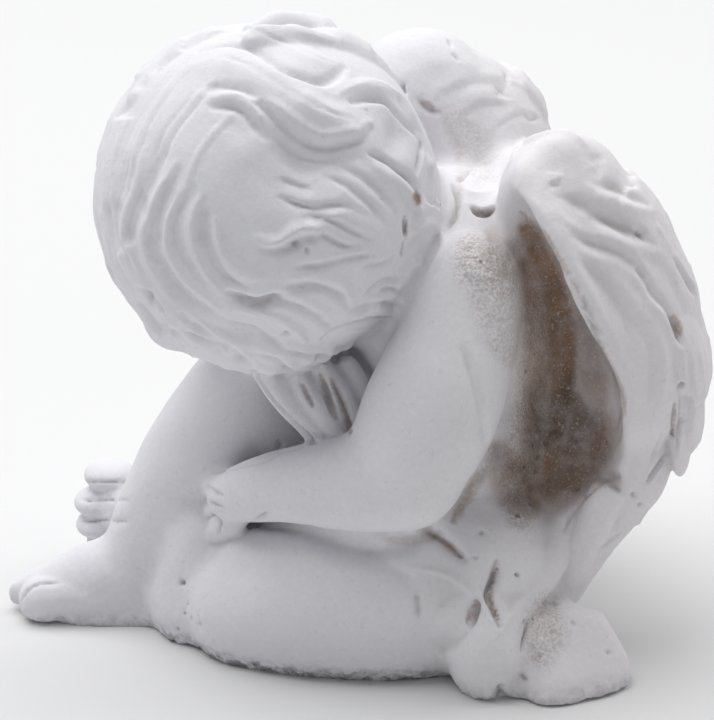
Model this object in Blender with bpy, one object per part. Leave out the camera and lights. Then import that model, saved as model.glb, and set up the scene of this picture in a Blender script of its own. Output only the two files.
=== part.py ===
"""Small cast figure of a seated cherub that rests its head on its raised knee.

Metres, +Z up. The figure stands on its flat underside at Z = 0, its front to -X.
Every form is placed in shares of the figure's height, on a frame of 82 shares.
Its parts are cast in one piece, so they are melted into one solid.
"""
import math

import bmesh
import bpy
import numpy as np
from mathutils import Matrix, Vector

HEIGHT = 0.082            # whole height, underside to the top of the head
SHARES = 82.0             # the figure is drawn on this many shares of its height

# In shares from here on
GRAIN = 0.85              # grain of the clay while its forms are blended
HEAD = (-10.8, 0.0, 59.7)     # middle of the skull
SKULL = 21.3                  # its radius
CURL = 1.0                    # how far a lock of hair stands off the skull
FEATHER = 1.3                 # half thickness of a feather
CREASE = 1.0                  # depth of a crease between two forms
SURFACE = 9700            # faces that the finished solid's skin is thinned to

UNIT = HEIGHT / SHARES

for old in list(bpy.data.objects):
    bpy.data.objects.remove(old, do_unlink=True)


# Tools of the trade

def unit(v):
    v = np.array(v, float)
    return v / np.linalg.norm(v)


def smooth_row(rows, count):
    """Rows of numbers along a smooth curve through the given rows."""
    p = np.array(rows, float)
    q = np.vstack([2 * p[0] - p[1], p, 2 * p[-1] - p[-2]])
    out = []
    for t in np.linspace(0, len(p) - 1, count):
        i = min(int(t), len(p) - 2)
        u = t - i
        a, b, c, d = q[i:i + 4]
        bend = 2 * a - 5 * b + 4 * c - d
        twist = 3 * b - a - 3 * c + d
        out.append(0.5 * (2 * b + (c - a) * u + bend * u * u + twist * u ** 3))
    return np.array(out)


def ball(lump, centre, radii, up=(0, 0, 1), side=(1, 0, 0), fine=3):
    """A ball or an egg: radii along side, across it and along up."""
    z = Vector(up).normalized()
    x = Vector(side)
    x = (x - z * x.dot(z)).normalized()
    turn = Matrix((x, z.cross(x), z)).transposed().to_4x4()
    if not isinstance(radii, tuple):
        radii = (radii,) * 3
    size = Matrix.Diagonal((*[r * UNIT for r in radii], 1))
    place = Matrix.Translation(Vector(centre) * UNIT)
    bmesh.ops.create_icosphere(lump, subdivisions=fine, radius=1, matrix=place @ turn @ size)


def tubes(lump, paths, steps=5, sides=4):
    """Round-ended tubes; each path holds rows of x, y, z and radius."""
    curve = bpy.data.curves.new("tubes", "CURVE")
    curve.dimensions = "3D"
    curve.bevel_depth = 1
    curve.bevel_resolution = sides
    curve.use_fill_caps = True
    for rows in paths:
        rows = smooth_row(rows, max(2, steps * (len(rows) - 1) + 1))
        rows[:, 3] = np.maximum(rows[:, 3], 0.05)
        ends = []
        for tip, near in ((rows[0], rows[1]), (rows[-1], rows[-2])):
            out = unit(tip[:3] - near[:3])
            cap = []
            for angle in (80, 60, 40, 20):
                reach = math.sin(math.radians(angle)) * tip[3]
                wide = math.cos(math.radians(angle)) * tip[3]
                cap.append([*(tip[:3] + out * reach), wide])
            ends.append(cap)
        full = np.array(ends[0] + rows.tolist() + ends[1][::-1]) * UNIT
        line = curve.splines.new("POLY")
        line.points.add(len(full) - 1)
        for spot, row in zip(line.points, full):
            spot.co = (*row[:3], 1)
            spot.radius = row[3]
    guide = bpy.data.objects.new("tubes", curve)
    bpy.context.scene.collection.objects.link(guide)
    shape = guide.evaluated_get(bpy.context.evaluated_depsgraph_get()).to_mesh()
    lump.from_mesh(shape)
    bpy.data.objects.remove(guide, do_unlink=True)
    bpy.data.curves.remove(curve)


def slab(lump, corners):
    """A block with flat sides: the hull of its corners."""
    verts = [lump.verts.new(Vector(corner) * UNIT) for corner in corners]
    made = bmesh.ops.convex_hull(lump, input=verts)
    spare = set(made["geom_interior"] + made["geom_unused"])
    bmesh.ops.delete(lump, geom=[v for v in verts if v in spare], context="VERTS")


def settle(lump, forms, soft):
    """Melt the gathered forms into the lump's one skin and soften its seams."""
    mesh = bpy.data.meshes.new("clay")
    forms.to_mesh(mesh)
    forms.clear()
    lump.from_mesh(mesh)
    lump.to_mesh(mesh)
    clay = bpy.data.objects.new("clay", mesh)
    bpy.context.scene.collection.objects.link(clay)
    melt = clay.modifiers.new("melt", "REMESH")
    melt.mode = "VOXEL"
    melt.voxel_size = GRAIN * UNIT
    soften = clay.modifiers.new("soften", "SMOOTH")
    soften.factor = 0.5
    soften.iterations = max(1, round(2 * (soft / GRAIN) ** 2))
    shape = bpy.data.meshes.new_from_object(
        clay.evaluated_get(bpy.context.evaluated_depsgraph_get()))
    bpy.data.objects.remove(clay, do_unlink=True)
    bpy.data.meshes.remove(mesh)
    lump.clear()
    lump.from_mesh(shape)
    bpy.data.meshes.remove(shape)


def hollow(lump, tool):
    """Cut the closed form in tool out of the lump."""
    things = []
    for bm in (lump, tool):
        mesh = bpy.data.meshes.new("form")
        bm.to_mesh(mesh)
        thing = bpy.data.objects.new("form", mesh)
        bpy.context.scene.collection.objects.link(thing)
        things.append(thing)
    cut = things[0].modifiers.new("cut", "BOOLEAN")
    cut.operation = "DIFFERENCE"
    cut.object = things[1]
    shape = bpy.data.meshes.new_from_object(
        things[0].evaluated_get(bpy.context.evaluated_depsgraph_get()))
    for thing in things:
        mesh = thing.data
        bpy.data.objects.remove(thing, do_unlink=True)
        bpy.data.meshes.remove(mesh)
    lump.clear()
    lump.from_mesh(shape)
    bpy.data.meshes.remove(shape)
    tool.free()


def press(lump, strokes):
    """Press soft grooves into the skin; rows of x, y, z, half width and depth."""
    lump.normal_update()
    spots = np.array([v.co for v in lump.verts]) / UNIT
    facing = np.array([v.normal for v in lump.verts])
    deep = np.zeros(len(spots))
    for rows in strokes:
        rows = smooth_row(rows, 6 * (len(rows) - 1) + 1)
        reach = 3 * rows[:, 3].max()
        low, high = rows[:, :3].min(0) - reach, rows[:, :3].max(0) + reach
        near = np.nonzero(((spots > low) & (spots < high)).all(1))[0]
        best = np.full(len(near), 9.0)
        here = np.zeros(len(near))
        for a, b in zip(rows[:-1], rows[1:]):
            run = b[:3] - a[:3]
            t = np.clip((spots[near] - a[:3]) @ run / max(run @ run, 1e-9), 0, 1)
            gap = np.linalg.norm(spots[near] - a[:3] - t[:, None] * run, axis=1)
            wide = a[3] + t * (b[3] - a[3])
            depth = CREASE * (a[4] + t * (b[4] - a[4]))
            closer = gap / wide < best
            best = np.where(closer, gap / wide, best)
            here = np.where(closer, depth * np.exp(-(gap / wide) ** 2), here)
        old = deep[near]
        deep[near] = np.where(np.abs(here) > np.abs(old), here, old)
    moved = (spots - facing * deep[:, None]) * UNIT
    for v, co in zip(lump.verts, moved):
        v.co = co


# Wings, folded down the back like a cape; rows of middle and half thickness

NEAR_WING = [(25.4, -1, 60, 8.3), (28.4, -1, 52.5, 10.8), (30.3, -1, 42, 12.8),
             (30.2, -1, 31, 11.8), (31.2, -2, 25, 8.8)]
FAR_WING = [(8.2, 24, 64.8, 10.1), (13.8, 25, 57.8, 12.1), (15.8, 26, 45, 12.9),
            (16, 27, 32, 12.4), (17, 28, 25, 9.8)]
NEAR_QUILLS = [(34, -3, 25, 6.2), (28.8, -6, 15, 3.8), (25.6, -7.4, 8, 2.2)]
NEAR_INNER = [(34.5, 4, 28, 6.2), (31.4, 2.6, 19, 3.6), (28.8, 0, 13, 2)]
FAR_QUILLS = [(14, 30.5, 25, 6.2), (12, 31, 15, 3.8), (9.5, 30, 8.5, 2.2)]
FAR_INNER = [(21.5, 26.5, 27, 6.2), (18.5, 28.5, 18, 3.6), (15.5, 29, 13, 2)]


def plumage(lump, wing, levels, angles, size, lift, turn=0.0):
    """Overlapping feathers, row on row, over the outside of a folded wing."""
    line = smooth_row(wing, 81)
    for row, level in enumerate(levels):
        spot = round(level * 80)
        middle, thick_here = line[spot, :3], line[spot, 3]
        up = unit(line[max(spot - 2, 0), :3] - line[min(spot + 2, 80), :3])
        x = unit(np.array([1, 0, 0]) - up * up[0])
        y = np.cross(up, x)
        shift = 0.5 * (angles[1] - angles[0]) * (row % 2)
        for angle in angles:
            a = math.radians(angle + shift)
            normal = x * math.cos(a) + y * math.sin(a)
            across = np.cross(normal, up)
            lean = math.radians(turn)
            down = -up * math.cos(lean) + across * math.sin(lean)
            across = np.cross(normal, down)
            tip = unit(down + normal * lift)
            skin = unit(normal - down * lift)
            wide, long, thick = size
            ball(lump, middle + normal * (thick_here - thick * 0.35) + down * long * 0.3,
                 (wide, long, thick), up=skin, side=across, fine=2)


def quills(first, middle, last, count):
    """Long feathers side by side from one guide through another to the last."""
    guides = np.array([first, middle, last], float)
    flat = smooth_row(guides.reshape(3, -1), count)
    return [row.reshape(-1, 4).tolist() for row in flat]


clay = bmesh.new()
forms = bmesh.new()
tubes(forms, [NEAR_WING, NEAR_QUILLS, NEAR_INNER], sides=7)
tubes(forms, [[(20.6, -5.5, 64, 2.4), (22.6, -8, 60, 3), (26, -11.5, 52, 3)]])
settle(clay, forms, 2.0)
recess = bmesh.new()
tubes(forms, [[(20.2, -7, 59, 2.8), (20.8, -7.4, 56, 4.6), (21.8, -7.8, 52, 6),
               (22.6, -8, 45, 7.9), (24.3, -8, 37, 9), (24, -8.5, 29, 8.5), (21, -9, 23.5, 6.8)]])
settle(recess, forms, 0.9)
hollow(clay, recess)
tubes(forms, [FAR_WING, FAR_QUILLS, FAR_INNER], sides=7)
ball(forms, (25, 11.5, 41), (11, 9, 22), up=(-0.2, 0.02, 0.97))

# Body and skull

ball(forms, (14, 3, 11), (13, 15, 12))
ball(forms, (12.5, 3, 26), (11.5, 12, 14))
ball(forms, (12, 3.5, 42), (13.3, 13, 14))
ball(forms, (12.5, 8, 51), (9.5, 13, 9.5))
ball(forms, (13.6, -6, 49), (7.2, 7.2, 7.5))
ball(forms, (4.6, 22.5, 51), 8.3)
ball(forms, (-1.5, 9.5, 38.5), (6, 6, 7))
ball(forms, (15.5, -5, 12), (11, 12, 11))
ball(forms, HEAD, SKULL - 0.3, fine=4)
ball(forms, (-21.4, -4.2, 45.6), (5.6, 5.6, 5))
tubes(forms, [[(8, 6, 53, 8.5), (-2, 3, 57, 9)],
             [(13, -6, 8.4, 10.6), (3, -6.8, 7.2, 10.3), (-6, -5.4, 6.4, 9.8), (-13, -3.4, 5.4, 9)],
             [(-7, 8, 4, 8), (-8, 7, 18, 7)]])
settle(clay, forms, 1.8)

# Arms, legs and hands

tubes(forms, [
    [(13.4, -7.6, 50.6, 6.8), (12.2, -9.8, 44, 7.5), (9.6, -11.6, 37, 8.6), (6.4, -12.6, 30, 8.0)],
    [(6.2, -13, 28, 7.4), (0, -12.4, 26.4, 6.3), (-7, -9.8, 25, 5), (-13, -6, 22.6, 4.2),
     (-16, -3, 20.4, 3.4)],
    [(4.6, 23, 51, 8), (-4, 22, 42, 7.4), (-12, 18.5, 35, 6.6)],
    [(-12, 18.5, 35, 6.4), (-12, 10, 37.5, 5.4), (-10.5, 2, 39.5, 4.6), (-7.5, -2.5, 39, 4)],
    [(9, 13, 15, 10), (-3, 9.5, 24, 9.4), (-13.6, 6.6, 30.4, 7.6)],
    [(-14.8, 6.5, 30.4, 7.6), (-21, 7, 21, 7.4), (-26.4, 7.6, 10, 6.4), (-27.4, 8, 4, 5.6)],
    [(-22, 8, 3.6, 5), (-29, 8, 4.4, 6), (-33.5, 7.6, 4.2, 5.7), (-38, 7.4, 3, 4.8),
     (-41, 7.4, 2.3, 3.8)],
    [(-22, 6.2, 1.4, 4.4), (-36, 6, 1.4, 4.2)],
    [(-13, -1, 13.5, 4.6), (-4, -5.4, 15, 5), (5, -7.6, 16, 5.4), (12, -7, 20, 6)],
    [(-8, -3, 8, 7.5), (-18, 12, 6.5, 6), (-26, 20, 6.5, 5)],
    [(-26, 20, 6.5, 5), (-31, 24, 8, 5.2)],
])
settle(clay, forms, 1.25)

# Cloth drawn about the hip, its folds and the tail that lies behind

ball(forms, (16.2, -15.5, 5.5), (5.2, 6.2, 7.5))
slab(forms, [(18.8, -19.2, 0), (23.8, -22.6, 0), (31, -19.6, 0), (34.8, -16.4, 0.6), (35, -11, 0),
             (22, -5, 0), (24.4, -22, 2.8), (30.8, -19, 3), (33.2, -14, 4.3), (31, -12, 7.5),
             (26, -10.6, 9), (21.4, -16, 8.4), (19.6, -18.6, 4)])
settle(clay, forms, 1.0)
tubes(forms, [
    [(5, -11, 14.6, 1.6), (8.5, -12.8, 14.9, 2), (12.3, -14, 14.6, 2), (15, -16, 12.6, 1.9),
     (17.4, -18.6, 9.2, 1.9), (18, -19.6, 5, 2)],
    [(24.6, -10.6, 14.5, 2.6), (21, -14.2, 12, 2.2), (17.8, -18.4, 9.2, 1.9), (15.4, -19.2, 4.6, 2.2)],
    [(14.8, -16, 12.4, 1.7), (11.6, -15.8, 9.6, 1.8), (9, -14.6, 6, 1.9)],
])
settle(clay, forms, 0.8)


# Hair: locks laid on the skull, drawn on a disc that faces the near side

RIGHT = np.array([1.0, 0.0, 0.0])
TOWARD = unit((0, -0.94, 0.342))
UPWARD = np.cross(TOWARD, RIGHT) * -1


def on_disc(point):
    """Direction from the middle of the skull under a point drawn on the disc."""
    u, v = point
    off = math.hypot(u, v)
    if off > SKULL:
        u, v = u * SKULL / off, v * SKULL / off
    w = math.sqrt(max(SKULL ** 2 - u * u - v * v, 0))
    return unit(RIGHT * u + UPWARD * v + TOWARD * w)


def lock(ways, width, height):
    """One lock over the skull along the given directions, tapered at both ends."""
    ways = smooth_row(ways, 4 * len(ways))
    rows = []
    for i, way in enumerate(ways):
        t = i / (len(ways) - 1)
        full = min(1.0, 0.45 + 2.4 * t, 0.35 + 3.2 * (1 - t))
        wide, high = width * full, height * full
        round_off = (wide * wide / 4 + high * high) / (2 * high)
        spot = np.array(HEAD) + unit(way) * (SKULL + high - round_off)
        rows.append((*spot, round_off))
    return rows


def fan(first, last, count, width, height, wave=0.12):
    """Locks side by side from one guide to another, each a little its own way."""
    first = smooth_row(first, 9)
    last = smooth_row(last, 9)
    out = []
    for i in range(count):
        t = i / max(count - 1, 1)
        t = min(max(t + wave * math.sin(5.3 * i + count) / count, 0), 1)
        path = first * (1 - t) + last * t
        path = path + 0.25 * np.sin(np.arange(9)[:, None] * 0.9 + i * 2.1 + np.array([0, 1.3]))
        cut = i % 3
        path = path[:9 - cut]
        bump = height * (1 + 0.22 * math.sin(3.1 * i + 1))
        out.append(lock([on_disc(p) for p in path],
                        width * (1 + 0.12 * math.sin(4.7 * i)), bump * CURL))
    return out


hair = []
hair += fan([(-18.9, 9.4), (-21.2, 3.8), (-21.2, -3.1), (-19.9, -9.0), (-17.1, -12.0)],
            [(-5.4, 4.6), (-7.4, 0.0), (-8.1, -5.2), (-6.6, -9.5), (-3.9, -11.8)], 7, 2.9, 0.85)
hair += fan([(-17.9, -3.1), (-18.4, -6.9), (-15.6, -12.2), (-10.8, -16.5), (-6.1, -20.0)],
            [(-12.6, -6.2), (-11.6, -9.8), (-8.2, -13.8), (-4.1, -16.0), (-1.1, -19.4)], 4, 2.6, 0.95)
hair += fan([(-16.4, -12.6), (-15.6, -16.0), (-12.6, -18.4), (-8.9, -20.0)],
            [(-10.8, -14.8), (-8.9, -16.5), (-5.1, -18.8), (-2.1, -21.0)], 4, 2.8, 1.2)
hair += fan([(-19.1, 10.6), (-13.2, 18.5), (-3.9, 21.6), (6.8, 21.0), (13.6, 18.2)],
            [(-15.1, 11.2), (-10.1, 17.2), (-3.9, 18.6), (2.4, 16.4), (7.4, 13.4)], 3, 4.6, 1.0)
hair += fan([(-12.6, 14.0), (-5.8, 16.0), (0.1, 14.0), (5.1, 11.6), (9.0, 10.2)],
            [(-11.6, 12.4), (-5.8, 13.8), (-0.8, 12.2), (3.6, 9.8), (6.6, 8.6)], 2, 4.2, 1.5)
hair += fan([(-10.1, 12.0), (-5.8, 12.0), (-1.6, 10.6), (1.2, 7.6)],
            [(-9.6, 9.6), (-5.8, 9.6), (-2.6, 8.4), (-0.6, 5.6)], 2, 2.6, 0.8)
hair += fan([(8.0, 12.8), (12.1, 13.5), (15.6, 12.0), (17.9, 8.2)],
            [(8.0, 11.4), (11.4, 11.4), (14.4, 9.2), (15.8, 5.4)], 2, 2.6, 1.1)
hair += fan([(15.1, 14.6), (19.3, 9.4), (21.1, 3.4), (21.0, -3.4)],
            [(12.6, 5.0), (15.4, 2.4), (17.1, -1.2), (17.1, -4.4)], 4, 3.4, 1.15)
hair += fan([(3.0, 4.4), (8.0, 5.4), (13.0, 1.6), (16.0, -4.0)],
            [(2.6, -0.6), (8.0, 0.2), (12.4, -2.6), (14.6, -6.6)], 3, 3.2, 0.6)
hair += fan([(-2.4, -6.2), (1.1, -5.5), (4.0, -4.2), (5.8, -4.4), (6.5, -6.2)],
            [(-2.4, -6.4), (1.1, -5.7), (4.0, -4.4), (5.8, -4.6), (6.5, -6.4)], 1, 2.4, 1.3)
hair += fan([(-1.1, -8.5), (3.6, -8.2), (8.4, -9.0), (11.4, -12.8)],
            [(-1.1, -15.2), (1.8, -16.0), (3.6, -17.8), (4.4, -19.8)], 4, 2.7, 1.0)
hair += fan([(7.4, -9.8), (10.1, -8.1), (13.9, -9.0), (17.1, -11.8)],
            [(6.4, -20.2), (9.2, -18.1), (12.4, -17.0), (15.1, -16.0)], 4, 3.0, 1.1)
hair += fan([(19.3, -4.0), (18.7, -7.8), (17.2, -11.6), (15.6, -14.4)],
            [(20.7, -4.4), (19.9, -8.8), (17.9, -12.2), (16.0, -15.2)], 2, 3.4, 1.3)

# The face looks down and away; these are its forward, upward and rightward directions

FORWARD = unit((-0.30, 0.80, -0.52))
CROWN = unit(np.array([-0.93, -0.12, 0.35])
             - FORWARD * (np.array([-0.93, -0.12, 0.35]) @ FORWARD))
OUTWARD = np.cross(FORWARD, CROWN)


def round_face(turn, open_by):
    """Direction at an angle round the face, and at an angle off its middle."""
    a, b = math.radians(turn), math.radians(open_by)
    return FORWARD * math.cos(b) + (CROWN * math.cos(a) + OUTWARD * math.sin(a)) * math.sin(b)


def sweep(first, last, opening, inwards, wave, phase):
    """Directions of a lock that sweeps round the face from one angle to another."""
    way = []
    for t in np.linspace(0, 1, 7):
        b = opening - inwards * t * t + wave * math.sin(2 * math.pi * t + phase)
        way.append(round_face(first + (last - first) * t, b))
    return way


for ring, opening in enumerate((99, 89, 79, 70)):
    for i in range(5):
        first = 118 - 47 * i + 17 * ring
        way = sweep(first, first - 62, opening, 9 + 3 * ring, 1.6, 1.3 * i + ring)
        hair.append(lock(way, 5.6 + 0.8 * math.sin(3.1 * i), CURL * (1.1 + 0.25 * math.sin(2.3 * i))))
tubes(forms, hair, steps=1, sides=3)


def at_face(right, up, out):
    return np.array(HEAD) + OUTWARD * right + CROWN * up + FORWARD * out


ball(forms, at_face(0, -5, 9), (13.5, 14, 11.5), up=FORWARD, side=OUTWARD)
for side in (-1, 1):
    ball(forms, at_face(6.6 * side, -8.5, 14.5), (5.6, 5.4, 5.2), up=FORWARD, side=OUTWARD)
    ball(forms, at_face(6.4 * side, -1.6, 18.6), (3.3, 2.1, 1.7), up=FORWARD, side=OUTWARD)
    ball(forms, at_face(1.5 * side, -6.6, 20.4), (1.2, 1.1, 1.1), up=FORWARD, side=OUTWARD)
    ball(forms, at_face(20.4 * side, -3.6, -0.5), (1.8, 3.6, 3), up=FORWARD, side=OUTWARD)
ball(forms, at_face(0, -14.4, 15.6), (4, 3.4, 3.8), up=FORWARD, side=OUTWARD)
tubes(forms, [
    [(*at_face(0, 0.5, 19.4), 1.4), (*at_face(0, -3, 20.4), 1.5), (*at_face(0, -5.8, 21.4), 1.8)],
    [(*at_face(-2.6, -10.1, 19.2), 0.7), (*at_face(0, -9.7, 20), 1.1),
     (*at_face(2.6, -10.1, 19.2), 0.7)],
    [(*at_face(-2, -11.2, 19.2), 0.8), (*at_face(0, -11.5, 19.8), 1.2),
     (*at_face(2, -11.2, 19.2), 0.8)],
])

# Fingers and toes

tubes(forms, [
    [(-11.4, -5.8, 38.6, 1.7), (-8.6, -7.2, 35, 1.8), (-5.4, -8.4, 31.6, 1.5)],
    [(-8.4, -5.6, 38.8, 1.6), (-5.4, -7.6, 35, 1.7), (-2.9, -8.6, 31.8, 1.4)],
    [(-4.6, -5, 39, 1.6), (-1.9, -6.8, 35.4, 1.7), (-0.2, -7.6, 31.8, 1.4)],
    [(-1.2, -4, 38.6, 1.5), (0.9, -5.4, 35.4, 1.5), (2.2, -6, 32.2, 1.3)],
    [(-14.6, -3.6, 21.6, 2.2), (-17.2, -1.4, 21, 1.9), (-18.8, 0.8, 20.4, 1.5)],
    [(-15, -3.8, 19, 2.1), (-17.2, -1.8, 18, 1.8), (-18.6, 0.2, 17.2, 1.4)],
    [(-15, -4.4, 17.4, 1.8), (-16.8, -3.4, 15.2, 1.6), (-17.8, -2.4, 13.2, 1.3)],
    [(-34, 5.4, 3.2, 3.6), (-41.2, 4.9, 2.7, 3.2)],
])
for i in range(4):
    ball(forms, (-43.6 + 0.55 * i, 7.4 + 1.75 * i, 2.5 - 0.1 * i), (2.3, 1.25, 1.9 - 0.1 * i))
FAR_TOES = [(-33.4, 24.4, 12.3), (-35.2, 24.2, 8.6), (-35.3, 24, 5.4), (-34.3, 24, 2.6)]
for i, toe in enumerate(FAR_TOES):
    ball(forms, toe, (3.6 - 0.3 * i, 3.6, 2.1 - 0.15 * i))

# Feathers

plumage(forms, NEAR_WING, (0.16, 0.34, 0.52, 0.7, 0.86), (-54, -29, -4, 21, 46, 71),
        (3.8, 6.6, FEATHER), 0.12, -8)
plumage(forms, FAR_WING, (0.16, 0.34, 0.52, 0.7, 0.86), (13, 38, 63, 88),
        (3.8, 6.6, FEATHER), 0.12, 8)
plumage(forms, FAR_WING, (0.4, 0.58, 0.74, 0.88), (-48, -23, 2), (3.8, 6.6, FEATHER), 0.1, 8)
tubes(forms, quills([(31, -9, 23, 2.4), (28, -8.6, 15, 2), (25.8, -7.8, 9.5, 1.2)],
                    [(38, -1.5, 23, 2.4), (32.8, -3.4, 15, 2), (28.4, -5.4, 7.5, 1.2)],
                    [(39.4, 9, 27, 2.4), (35.4, 6.8, 20, 2), (32.6, 3.6, 14.5, 1.2)], 7))
tubes(forms, quills([(8, 34.5, 24, 2.4), (8.4, 34, 15, 2), (7.8, 31.4, 9, 1.2)],
                    [(17.5, 35.4, 23, 2.4), (14, 34, 15, 2), (10, 32, 7.5, 1.2)],
                    [(27.4, 27.5, 27, 2.4), (23, 29.6, 20, 2), (19.6, 30.4, 14.5, 1.2)], 7))
settle(clay, forms, 0.6)

# Creases: mouth, lids, toes, cloth and the joints between the forms

strokes = [
    [(9, -12, 19.5, 1.1, 1.2), (11, -12.4, 17.8, 1.2, 1.6), (13.4, -12.6, 15.6, 0.9, 1)],
    [(17.6, -15, 15.4, 0.9, 1.4), (16.6, -17, 12.4, 1, 1.8), (17.6, -18.6, 10, 0.8, 1)],
    [(14.4, -17.4, 11.4, 0.8, 1.2), (12.6, -16.4, 8.8, 0.9, 1.3), (10.4, -15.4, 6.2, 0.9, 0.8)],
    [(21.4, -16.6, 10, 0.7, 1), (20.6, -18.6, 6.8, 0.7, 1), (20.6, -21, 3.4, 0.6, 0.7)],
    [(-38, 6.6, 6, 0.6, 0.7), (-42, 6.2, 4.9, 0.6, 1), (-44.4, 6, 2.8, 0.6, 1)],
]
for side in (-1, 1):
    strokes.append([(*at_face(4 * side, -2.8, 19.8), 0.5, 0.5),
                    (*at_face(6.4 * side, -3.4, 19.6), 0.5, 0.6),
                    (*at_face(8.6 * side, -2.8, 18.6), 0.5, 0.5)])
strokes.append([(*at_face(-2.6, -10.6, 19.6), 0.5, 0.5), (*at_face(0, -10.6, 20.6), 0.5, 0.7),
                (*at_face(2.6, -10.6, 19.6), 0.5, 0.5)])
press(clay, strokes)


# The finished solid, thinned out and ground flat below

mesh = bpy.data.meshes.new("clay")
clay.to_mesh(mesh)
clay.free()
forms.free()
rough = bpy.data.objects.new("clay", mesh)
bpy.context.scene.collection.objects.link(rough)
thin = rough.modifiers.new("thin", "DECIMATE")
thin.ratio = min(1.0, SURFACE / (2.0 * len(mesh.polygons)))
shape = bpy.data.meshes.new_from_object(
    rough.evaluated_get(bpy.context.evaluated_depsgraph_get()))
bpy.data.objects.remove(rough, do_unlink=True)

solid = bmesh.new()
solid.from_mesh(shape)
bmesh.ops.bisect_plane(solid, geom=solid.verts[:] + solid.edges[:] + solid.faces[:],
                       plane_co=(0, 0, 0), plane_no=(0, 0, -1), dist=1e-7, clear_outer=True)
rim = [e for e in solid.edges if e.is_boundary]
bmesh.ops.holes_fill(solid, edges=rim, sides=0)
bmesh.ops.triangulate(solid, faces=[f for f in solid.faces if len(f.verts) > 4])
bmesh.ops.recalc_face_normals(solid, faces=solid.faces)
corners = np.array([v.co for v in solid.verts])
middle = (corners.min(0) + corners.max(0)) / 2
bmesh.ops.translate(solid, verts=solid.verts, vec=(-middle[0], -middle[1], 0))
solid.to_mesh(shape)
solid.free()

plaster = bpy.data.materials.new("plaster")
plaster.use_nodes = True
look = plaster.node_tree.nodes["Principled BSDF"]
look.inputs["Base Color"].default_value = (0.78, 0.77, 0.78, 1)
look.inputs["Roughness"].default_value = 0.85
look.inputs["Metallic"].default_value = 0.0

shape.name = "angel_figurine"
shape.materials.clear()
shape.materials.append(plaster)
figure = bpy.data.objects.new("angel_figurine", shape)
bpy.context.scene.collection.objects.link(figure)
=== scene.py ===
"""Looks of the cast cherub: its fine carving, cast plaster, dirt and painted shade, floor, light
and camera.

The carving is worked in shares of the figure's height, as the solid that it replaces is, on
a frame of 82 shares, and is then set in that solid's place. Metres, +Z up. A place given in
pixels lies in the photograph's frame of 714 x 720, and is met by a line of sight.
"""
import math

import bmesh
import bpy
import numpy as np
from mathutils import Matrix, Vector, noise
from mathutils.bvhtree import BVHTree


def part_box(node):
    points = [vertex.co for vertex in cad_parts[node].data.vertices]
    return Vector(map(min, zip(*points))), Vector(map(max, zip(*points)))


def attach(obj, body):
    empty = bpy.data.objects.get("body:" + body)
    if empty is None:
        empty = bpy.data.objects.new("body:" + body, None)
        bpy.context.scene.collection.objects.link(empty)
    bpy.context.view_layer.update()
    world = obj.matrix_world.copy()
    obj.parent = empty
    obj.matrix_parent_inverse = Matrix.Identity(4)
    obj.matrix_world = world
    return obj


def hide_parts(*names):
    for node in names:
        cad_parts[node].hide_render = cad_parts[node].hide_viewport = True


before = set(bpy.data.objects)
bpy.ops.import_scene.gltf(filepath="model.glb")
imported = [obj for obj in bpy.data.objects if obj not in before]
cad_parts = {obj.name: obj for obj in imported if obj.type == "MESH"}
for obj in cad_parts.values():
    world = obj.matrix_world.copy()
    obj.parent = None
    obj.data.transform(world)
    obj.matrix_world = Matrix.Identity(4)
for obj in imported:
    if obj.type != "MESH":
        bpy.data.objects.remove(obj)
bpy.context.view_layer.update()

HEIGHT = 0.082  # whole height, underside to the top of the head
SHARES = 82.0  # the figure is drawn on this many shares of its height
UNIT = HEIGHT / SHARES
SURFACE = 194000  # triangles that the finished skin is thinned to
FLOOR = 4.0  # half of the floor's side, metres

# In shares from here on
BROAD = 0.6  # grain of the clay while the broad forms are blended
CRISP = 0.45  # for the folds of cloth
FINE = 0.34  # for hair, fingers and feathers
HEAD = (-10.8, 0.0, 59.7)  # middle of the skull
SKULL = 21.3  # its radius under the hair's locks
CURL = 1.0  # how far a lock of hair stands off the skull
FEATHER = 1.3  # half thickness of a feather
VANE = (3.8, 6.6, FEATHER)  # half width, half length and half thickness of a long feather
SHAFT = 0.42  # half width of a feather's shaft
SHAFT_RISE = 0.22  # height of the shaft
THINNEST = 0.05  # least radius of a tube
LEAP = 3.5  # a stroke breaks off where its next spot lies further than this
REACH = 3.2  # half widths around a stroke that it works on
FAR = 9.0  # half widths away that count as out of a stroke's reach
LIFT_MOST, CUT_MOST = 1.8, 2.6  # most that all strokes together raise or sink the skin

# The photograph's eye point
EYE_LIFT = math.radians(20)
EYE_AWAY = 420.0
EYE_AIM = np.array([0.0, 0.0, 37.5])
PIXEL = 0.125  # size of a pixel at the aim point
WIDE, TALL = 714, 720  # the photograph's frame, in pixels
SENSOR = 36.0  # width of the camera's sensor, millimetres


# Modelling tools

def column(items, name, width, kind=np.float32):
    """One property of all the items of a mesh, as rows of so many numbers."""
    values = np.empty(width * len(items), kind)
    items.foreach_get(name, values)
    return values.reshape(-1, width)


def placed(name, data):
    """A new object with the given data, in the scene."""
    thing = bpy.data.objects.new(name, data)
    bpy.context.scene.collection.objects.link(thing)
    return thing


def unit(v):
    v = np.array(v, float)
    return v / np.linalg.norm(v)


def smooth_row(rows, count):
    """Rows of numbers along a smooth curve through the given rows."""
    p = np.array(rows, float)
    q = np.vstack([2 * p[0] - p[1], p, 2 * p[-1] - p[-2]])
    out = []
    for t in np.linspace(0, len(p) - 1, count):
        i = min(int(t), len(p) - 2)
        u = t - i
        a, b, c, d = q[i:i + 4]
        bend = 2 * a - 5 * b + 4 * c - d
        twist = 3 * b - a - 3 * c + d
        out.append(0.5 * (2 * b + (c - a) * u + bend * u * u + twist * u ** 3))
    return np.array(out)


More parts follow.
